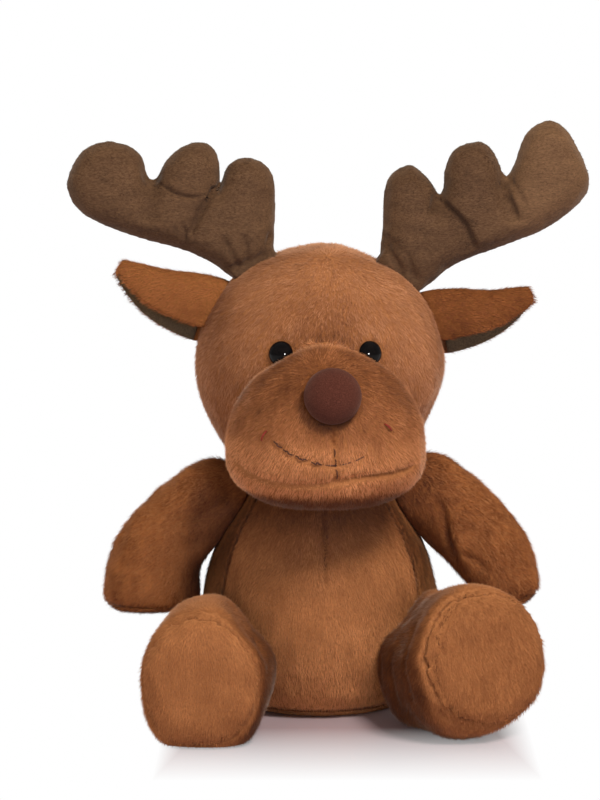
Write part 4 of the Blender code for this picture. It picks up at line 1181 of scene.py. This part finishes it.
def antler_folds(antler, side):
    """Folds on the front and the back, and a seam all round the edge."""
    tree = tree_of(antler)
    folds = [(cast(tree, pixels), *sizes) for pixels, *sizes in ANTLER_FOLDS[side]]
    for front, width, depth, step in folds:
        wide, deep = width * 1.3 * MM, depth * MM
        crease(antler, front, wide, deep, 7 * MM, step=step * MM, open_start=True, dark=0.5)
        crease(antler, behind(tree, front), wide, deep * 0.7, 7 * MM, open_start=True, dark=0.5)
    normals = normals_of(antler)
    edge = np.exp(-((normals[:, 1] / 0.13) ** 2)) * 0.7 * MM
    set_points(antler, points_of(antler) - normals * edge[:, None])


def limb_folds(limb, end, folds, node):
    """Folds of an arm or leg, and the seam round its pad or sole."""
    tree = tree_of(limb)
    for pixels, width, depth in folds:
        crease(limb, cast(tree, pixels), width * MM, depth * MM, 8 * MM, dark=0.4)
    line = rim(node)
    for skin in (limb, end):
        crease(skin, line, 1.9 * MM, 0.6 * MM, 0, 0.2 * MM, 6 * MM, seed=31, dark=0.3)
        part_pile(skin, line, 2.2 * MM, 0.55)


def press_seams(head, muzzle, torso, belly, limbs):
    """Presses the seams, gathers and folds into the skins."""
    head_seams(head, muzzle)
    muzzle_seams(muzzle)
    belly_seams(torso, belly)
    for side in SIDES:
        antler_folds(limbs["antler", side], side)
        limb_folds(limbs["arm", side], limbs["pad", side], ARM_FOLDS[side], f"paw_pad_{side}")
        limb_folds(limbs["leg", side], limbs["sole", side], LEG_FOLDS[side], f"sole_{side}")


# Stitched threads

# Each stitch of the smile starts at this share of its line
SMILE_STARTS = (0.0, 0.13, 0.27, 0.42, 0.56, 0.70, 0.85)
SMILE_STITCH = 0.12


def make_threads(muzzle, materials):
    """The stitched smile, the seam's stitches above it and its two end stitches."""
    tree = tree_of(muzzle)
    path = fine(cast(tree, SMILE), 0.5 * MM)
    for index, start in enumerate(SMILE_STARTS):
        first, last = int(start * len(path)), int((start + SMILE_STITCH) * len(path))
        height = (1.3 if index < 4 else -0.2) * MM
        stitch(f"smile_stitch_{index + 1}", tree, path[first:last], 0.42 * MM, height, materials["thread"])
    for index, ends in enumerate(SEAM_STITCHES):
        line = fine(cast(tree, ends), 0.6 * MM)
        stitch(f"muzzle_stitch_{index + 1}", tree, line, 0.3 * MM, 0.7 * MM, materials["thread"])
    for index, ends in enumerate(SMILE_ENDS):
        line = fine(cast(tree, ends), 0.6 * MM)
        stitch(f"smile_end_{index + 1}", tree, line, 0.5 * MM, 1.3 * MM, materials["red_thread"])


def stitch(name, tree, line, radius, height, material):
    lifted = []
    for share, point in zip(np.linspace(0, 1, len(line)), line):
        place, normal = tree.find_nearest(Vector(point))[:2]
        lifted.append(place + normal * (height * math.sin(math.pi * share) ** 0.5 + 0.2 * MM))
    piece = tube(name, lifted, radius)
    piece.data.materials.append(material)
    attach(piece, "head")


# Painted light and shade of the pile at its roots

def head_tone_by(muzzle):
    """Painted shade on the head close to the muzzle and on its left, painted light on its top, and darker on
    its brow.
    """
    tree, reach = tree_of(muzzle), 9 * MM

    def head_tone(roots, upward):
        tone = np.zeros(len(roots))
        for index, root in enumerate(roots):
            away = tree.find_nearest(Vector(root), reach)[3]
            if away is not None:
                tone[index] = -0.1 * (1 - away / reach)
        brow = np.linalg.norm(roots - FOREHEAD, axis=1)
        tone -= 0.14 * smoothstep(0.02, 0.06, -roots[:, 0])
        return tone - 0.28 * np.exp(-((brow / 0.026) ** 2)) + 0.1 * smoothstep(0.4, 0.9, upward[:, 2])

    return head_tone


# Painted light along the muzzle's edge by the head and low on its front, most on the left; painted shade on
# its top, by the nose and under the chin, and a little darker all over
def muzzle_tone(roots, upward):
    proud = np.linalg.norm(roots - HEAD_CENTRE, axis=1) - HEAD_RADIUS
    edge = smoothstep(-0.5 * MM, 2 * MM, proud) * (1 - smoothstep(3 * MM, 9 * MM, proud))
    by_nose = np.linalg.norm(roots - turned_head(nose_seat()[0]), axis=1) - NOSE_RADIUS
    top = smoothstep(0.05, 0.7, upward[:, 2])
    low = (1 - smoothstep(0.145, 0.156, roots[:, 2])) * smoothstep(0.124, 0.131, roots[:, 2])
    light = low * (1 - smoothstep(0.0, 0.03, roots[:, 0]) * 0.6)
    dark = top * (1 - edge) * 0.25 + 0.1 * (1 - smoothstep(0, 6 * MM, by_nose))
    chin = 1 - smoothstep(0.121, 0.13, roots[:, 2])
    return edge * 0.36 + light * 0.84 - dark - chin * 0.45 - 0.18


# Painted light low on the belly and painted shade high on it, under the chin
def belly_tone(roots, upward):
    high = roots[:, 2]
    return 0.02 + 0.6 * (1 - smoothstep(0.01, 0.07, high)) - 0.5 * smoothstep(0.078, 0.112, high)


# Painted shade high on the front of the body
def body_tone(roots, upward):
    return -0.45 * smoothstep(0.05, 0.09, roots[:, 2]) * smoothstep(0, 0.02, -roots[:, 1])


# Painted shade in each armpit, and over the arms, the right more than the left
def arm_tone(roots, upward):
    inner = np.abs(roots[:, 0])
    pit = -0.35 * (1 - smoothstep(0.04, 0.075, inner)) * smoothstep(0.07, 0.1, roots[:, 2])
    return pit - np.where(roots[:, 0] > 0, 0.16, 0.1)


# Painted shade on the side of each leg that faces the other, most of all low down
def leg_tone(roots, upward):
    toward = np.sign(roots[:, 0]) * upward[:, 0]
    return -0.5 * smoothstep(0.1, 0.8, -toward) * (1 - smoothstep(0.04, 0.07, roots[:, 2]) * 0.6)


# Painted light on the left sole and painted shade on the right one
def sole_tone(roots, upward):
    return np.where(roots[:, 0] < 0, 0.22, -0.08)


# Painted light on the left ear and where each ear faces down, painted shade on the right ear
def ear_tone(roots, upward):
    return np.where(roots[:, 0] < 0, 0.1, -0.28) + 0.45 * smoothstep(0.2, 0.8, -upward[:, 2])


# Painted shade on the left antler and the inner part of the right one, painted light on the right one's outer
# part
def antler_tone(roots, upward):
    across = roots[:, 0]
    return np.where(across < 0, -0.38, 0.6 * smoothstep(0.085, 0.115, across) - 0.48)


# Building

# Each part of a side: its node, skin, voxel in millimetres, smoothing steps and whether it is made finer
LIMB_SKINS = {
    "arm": ("arm", "arm_skin", 2.6, 5, True),
    "leg": ("leg", "leg_skin", 3, 5, True),
    "sole": ("sole", "sole_skin", 1.6, 4, False),
    "pad": ("paw_pad", "paw_skin", 1.2, 4, False),
    "antler": ("antler", "antler_skin", 1.6, 6, True),
    "ear": ("ear", "ear_skin", 1.1, 4, False),
    "lining": ("ear_lining", "ear_lining_skin", 0.6, 3, False),
}
LIMB_ENDS = {"arm": "pad", "leg": "sole", "ear": "lining"}
# Each part's material, the body that it rides on, its slot and how far it is padded
LIMB_LOOKS = {
    "arm": ("backing", None, "plush_brown", 0.75),
    "leg": ("backing", None, "plush_brown", 0.8),
    "sole": ("backing", "leg", "pad_brown", 0.8),
    "pad": ("backing", "arm", "pad_brown", 0.6),
    "antler": ("velvet", "antler", "antler_brown", 0.8),
    "ear": ("ear_backing", None, "plush_brown", 0.4),
    "lining": ("lining", None, "lining_brown", None),
}
# Each part's pile: its body, colour, lie on the right side, and where it differs from other pile
LIMB_PILES = {
    "arm": ("arm", "arm", (0.7, 0.2, -0.7), {"length": 3.8 * MM, "coarse": 0.4, "tone": arm_tone}),
    "leg": ("leg", "limb", (0.15, 0.35, -0.9), {"coarse": 0.15, "tone": leg_tone}),
    "sole": ("leg", "limb", (0, 0.3, -1), {"coarse": 0.14, "wild": 0.2, "tone": sole_tone}),
    "pad": ("arm", "arm", (0.3, -0.4, 0), {}),
    "ear": ("ear", "ear", (1, 0, -0.35), {"length": 3 * MM, "tone": ear_tone}),
    "antler": ("antler", "antler", (1, 0, 0.25), {
        "length": 1.5 * MM, "width": 0.3 * MM, "density": 2.2, "lean": 14, "coarse": 0.3, "fold": 0.25,
        "tone": antler_tone, "rows": (0.25, 1, 1),
    }),
}
LIMB_LUMPS = {"arm": 0.6, "leg": 0.6, "sole": 0.5, "antler": 0.4}


def make_limb_skins():
    return {
        (part, side): remeshed(f"{skin}_{side}", [f"{node}_{side}"], voxel * MM, soften, finer)
        for side in SIDES for part, (node, skin, voxel, soften, finer) in LIMB_SKINS.items()
    }


def with_end(limbs, part, side):
    """A limb's skin, with that of its pad, sole or lining."""
    return [limbs[name, side] for name in (part, LIMB_ENDS.get(part)) if name]


def stuff_and_pull(head, torso, limbs):
    for side in SIDES:
        for part in ("arm", "leg", "antler"):
            stuffed(limbs[part, side], 1.2 * MM, 4.5 * MM)
    stuffed(torso, 1.5 * MM, 5.5 * MM)
    for where, reach, move in HEAD_MOVES:
        shift([head], HEAD_CENTRE + np.array(where), reach * MM, np.array(move) * MM)
    for (part, side), moves in LIMB_MOVES.items():
        for where, reach, move in moves:
            shift(with_end(limbs, part, side), np.array(where), reach * MM, np.array(move) * MM)


def swell_and_bend(limbs):
    """Fills out antlers and arms and draws the ears in. Gives where each limb's bending starts and ends."""
    bends = {}
    for side, out in SIDES.items():
        swell(limbs["antler", side], 1.6 * MM)
        swell(limbs["arm", side], 0.8 * MM)
        bends["ear", side] = ear_stretch(with_end(limbs, "ear", side), side)
        mirrored = np.array((out, 1, 1))
        shoulder, hip = mirrored * SHOULDER, mirrored * HIP
        bends["arm", side] = shoulder, shoulder + mirrored * ARM_RUN * ARM_BEND * MM
        bends["leg", side] = hip, hip - (0, LEG_BEND * MM, 0)
    return bends


def clear_eyes(muzzle):
    """Draws the muzzle down under each eye."""
    for side in SIDES.values():
        under_eye = turned_head(np.array(eye_place(side)[0]) - (0, 0, 8.5 * MM))
        shift([muzzle], under_eye, 8.5 * MM, (0, 1.5 * MM, -4.2 * MM))
        shift([muzzle], under_eye - (side * 7 * MM, 0, -2 * MM), 8 * MM, (0, 1.5 * MM, -3.2 * MM))


def dress_skins(head, muzzle, torso, belly, seat, tail, limbs, materials):
    backing = materials["backing"]
    dress(head, backing, "head", "plush_brown", "head", fill=0.9)
    dress(muzzle, backing, "head", "muzzle_brown", "muzzle", fill=0.85)
    dress(torso, backing, "torso", "plush_brown", "body", fill=0.8)
    dress(belly, backing, "torso", "panel_brown", "belly_panel")
    dress(seat, backing, "torso", "panel_brown", "seat_panel")
    dress(tail, backing, "torso", "plush_brown", "tail", fill=0.7)
    for side, out in SIDES.items():
        for part, (material, body, slot, fill) in LIMB_LOOKS.items():
            rides = f"{body}_{side}" if body else None
            node = f"{LIMB_SKINS[part][0]}_{side}"
            dress(limbs[part, side], materials[material], rides, slot, node, fill=fill)
        make_eye(side, out, materials)
    make_nose(materials)
    bag = remeshed("pellet_bag_skin", ["pellet_bag"], 2.5 * MM, 3, True)
    dress(bag, materials["cotton"], "torso", "bag_cream", "pellet_bag", fill=0.7)
    for node in ("nose_washer", "eye_washer_left", "eye_washer_right"):
        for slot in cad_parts[node].material_slots:
            slot.material = materials["plastic"]


def trees_of_others(head, muzzle, torso, belly, tail, limbs):
    """For each body, the skins of all the other bodies."""
    groups = {"head": [head, muzzle], "torso": [torso, belly, tail]}
    for side in SIDES:
        for part in ("arm", "leg", "ear", "antler"):
            groups[f"{part}_{side}"] = with_end(limbs, part, side)
    return {
        body: tree_of(*[piece for name, own in groups.items() if name != body for piece in own])
        for body in groups
    }


def make_piles(head, muzzle, torso, belly, tail, limbs, bends, materials):
    """The pile of every skin. The pile of an arm, leg or ear rides on no body; it, its skin and an ear's
    lining have their places baked into their points.
    """
    skins = head, muzzle, torso, belly, tail
    tree = tree_of(*skins, *limbs.values())
    others = trees_of_others(*skins, limbs)

    def pile(name, skin, colour, body, slot, comb, seed, **more):
        rides = None if name.startswith(("ear", "arm", "leg")) else body
        shade_skin(skin, more.get("tone"))
        return make_pile(name, skin, tree, others[body], materials[colour], rides, slot, comb, seed, **more)

    down = comb_along((0, 0.1, -1))
    crown = comb_from(HEAD_CENTRE + (CROWN_OFFSET, -0.025, HEAD_RADIUS))
    bridge = comb_from(MUZZLE_CENTRE + (0, -0.03, 0.055))
    pile("head_pile_hairs", head, "head", "head", "plush_brown", crown, 11, tone=head_tone_by(muzzle),
         coarse=0.16, grain=0.12)
    pile("muzzle_pile_hairs", muzzle, "muzzle", "head", "muzzle_brown", bridge, 12, length=3.2 * MM,
         wild=0.26, tone=muzzle_tone, coarse=0.24)
    pile("body_pile_hairs", torso, "body", "torso", "plush_brown", down, 13, tone=body_tone)
    pile("belly_pile_hairs", belly, "belly", "torso", "panel_brown", down, 15, tone=belly_tone, coarse=0.22)
    pile("tail_pile_hairs", tail, "body", "torso", "plush_brown", down, 14)
    for index, (side, out) in enumerate(SIDES.items()):
        for part, (owner, colour, (across, back, rise), more) in LIMB_PILES.items():
            skin, body, slot = limbs[part, side], f"{owner}_{side}", LIMB_LOOKS[part][2]
            comb = comb_along((out * across, back, rise))
            piece = pile(f"{part}_pile_hairs_{side}", skin, colour, body, slot, comb, 20 + index,
                         **{"length": 3.2 * MM, **more})
            if (part, side) in bends:
                lining = [limbs["lining", side]] if part == "ear" else []
                for blended in (skin, piece, *lining):
                    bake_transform(blended)


def build():
    materials = make_materials()
    head = ball("head_skin", BALL_DETAIL, head_shape)
    muzzle = ball("muzzle_skin", BALL_DETAIL, muzzle_shape)
    torso = remeshed("body_skin", ["body", "belly_panel", "seat_panel", "pellet_bag"], 3 * MM, 6, True)
    limbs = make_limb_skins()
    tail = remeshed("tail_skin", ["tail"], 2 * MM, 4, True)
    seat = remeshed("seat_skin", ["seat_panel"], 1.2 * MM, 2, False)
    stuff_and_pull(head, torso, limbs)
    bends = swell_and_bend(limbs)
    clear_eyes(muzzle)
    lumps(head, 28 * MM, 0.6 * MM, 3)
    lumps(muzzle, 20 * MM, 0.5 * MM, 4)
    lumps(torso, 24 * MM, 0.6 * MM, 5)
    belly = make_belly(torso)
    for index, side in enumerate(SIDES):
        for part, height in LIMB_LUMPS.items():
            lumps(limbs[part, side], 15 * MM, height * MM, 6 + index)
    press_seams(head, muzzle, torso, belly, limbs)
    for side in SIDES:
        stand(limbs["leg", side])
        stand(limbs["sole", side])
    stand(torso)
    dress_skins(head, muzzle, torso, belly, seat, tail, limbs, materials)
    make_threads(muzzle, materials)
    make_piles(head, muzzle, torso, belly, tail, limbs, bends, materials)


# Floor, background and lights

FLOOR_HALF, FLOOR_LEVEL = 3.0, -0.0003
# Near the deer the floor's colour is dark and pinkish: painted shadow and painted reflection of the deer, over
# its real shadow
FLOOR_PAINTED_SHADE = (0.52, 0.4, 0.416, 1)
# The floor turns white from the first distance to the second, each way from the middle
FLOOR_FADES = (("X", 0.013, 0.074, 0.094), ("Y", 0.0, 0.062, 0.165))
ROOM_COLOUR, ROOM_STRENGTH = (1, 0.985, 0.97, 1), 0.34
LIGHTS_AIM = Vector((0, 0, 0.15))
# Each light: its place, size, power and colour. The catch light is only seen as a reflection
LIGHTS = {
    "key": ((0.5, -1.0, 1.25), 0.4, 23, (1, 0.97, 0.94)),
    "fill": ((-0.7, -1.5, 0.5), 0.9, 4.2, (1, 0.98, 0.97)),
    "catch": ((0.36, -1.5, 0.42), 0.24, 26, (1, 1, 1)),
    "rim_left": ((-0.9, 0.6, 0.45), 0.8, 6, (1, 1, 0.95)),
    "rim_right": ((0.9, 0.65, 0.5), 0.8, 6, (1, 1, 0.95)),
}


def calculated(owner, operation, *values):
    """The result of a sum on sockets and numbers."""
    node = add(owner, "ShaderNodeMath", operation=operation)
    for socket, value in zip(node.inputs, values):
        if isinstance(value, float):
            socket.default_value = value
        else:
            join(owner, value, socket)
    return node.outputs[0]


def mixed_shaders(owner, factor, first, second):
    blend = add(owner, "ShaderNodeMixShader")
    for socket, value in zip(blend.inputs, (factor, first, second)):
        join(owner, value, socket)
    return blend.outputs[0]


def glow(owner, kind, colour, strength):
    node = add(owner, kind)
    node.inputs["Color"].default_value = colour
    node.inputs["Strength"].default_value = strength
    return node.outputs[0]


def floor_material():
    """Glossy paper, dark and pinkish near the deer as painted shadow and painted reflection of it, that turns
    white away from the deer, for the camera and in mirrors.
    """
    material = new_material("floor_paper", roughness=0.22, specular=0.5)
    nodes = material.node_tree.nodes
    shader = nodes["Principled BSDF"]
    shader.inputs["Base Color"].default_value = FLOOR_PAINTED_SHADE
    parts = add(material, "ShaderNodeSeparateXYZ")
    join(material, add(material, "ShaderNodeTexCoord").outputs["Object"], parts.inputs[0])
    fades = []
    for axis, middle, start, end in FLOOR_FADES:
        off = calculated(material, "SUBTRACT", parts.outputs[axis], middle)
        ease = add(material, "ShaderNodeMapRange")
        ease.inputs["From Min"].default_value = start
        ease.inputs["From Max"].default_value = end
        join(material, calculated(material, "ABSOLUTE", off), ease.inputs["Value"])
        fades.append(ease.outputs["Result"])
    path = add(material, "ShaderNodeLightPath").outputs
    seen = calculated(material, "MAXIMUM", path["Is Camera Ray"], path["Is Glossy Ray"])
    factor = calculated(material, "MULTIPLY", calculated(material, "MAXIMUM", *fades), seen)
    white = glow(material, "ShaderNodeEmission", (1, 1, 1, 1), 1.0)
    shown = mixed_shaders(material, factor, shader.outputs[0], white)
    join(material, shown, nodes["Material Output"].inputs["Surface"])
    return material


def make_world():
    """Soft light from all round, behind which the camera sees white."""
    world = bpy.data.worlds.new("studio")
    scene.world = world
    world.use_nodes = True
    nodes = world.node_tree.nodes
    background = nodes["Background"]
    background.inputs["Color"].default_value = ROOM_COLOUR
    background.inputs["Strength"].default_value = ROOM_STRENGTH
    white = glow(world, "ShaderNodeBackground", (1, 1, 1, 1), 1.0)
    path = add(world, "ShaderNodeLightPath").outputs
    seen = calculated(world, "MAXIMUM", path["Is Camera Ray"], path["Is Transmission Ray"])
    shown = mixed_shaders(world, seen, background.outputs[0], white)
    join(world, shown, nodes["World Output"].inputs["Surface"])


def make_light(name, place, size, power, tint):
    data = bpy.data.lights.new(name, "AREA")
    data.energy = power
    data.size = size
    data.color = tint
    lamp = bpy.data.objects.new(name, data)
    scene.collection.objects.link(lamp)
    lamp.visible_glossy = name == "catch"
    lamp.visible_diffuse = name != "catch"
    lamp.location = place
    aim = LIGHTS_AIM - lamp.location
    lamp.rotation_euler = aim.to_track_quat("-Z", "Y").to_euler()


def make_stage():
    corners = np.array(((-1, -1, 0), (1, -1, 0), (1, 1, 0), (-1, 1, 0))) * FLOOR_HALF + (0, 0, FLOOR_LEVEL)
    floor = link("floor", mesh_from("floor", corners, np.array([[0, 1, 2, 3]])))
    floor.data.materials.append(floor_material())
    make_world()
    for name, values in LIGHTS.items():
        make_light(name, *values)
    scene.view_settings.view_transform = "Standard"


make_camera()
build()
make_stage()
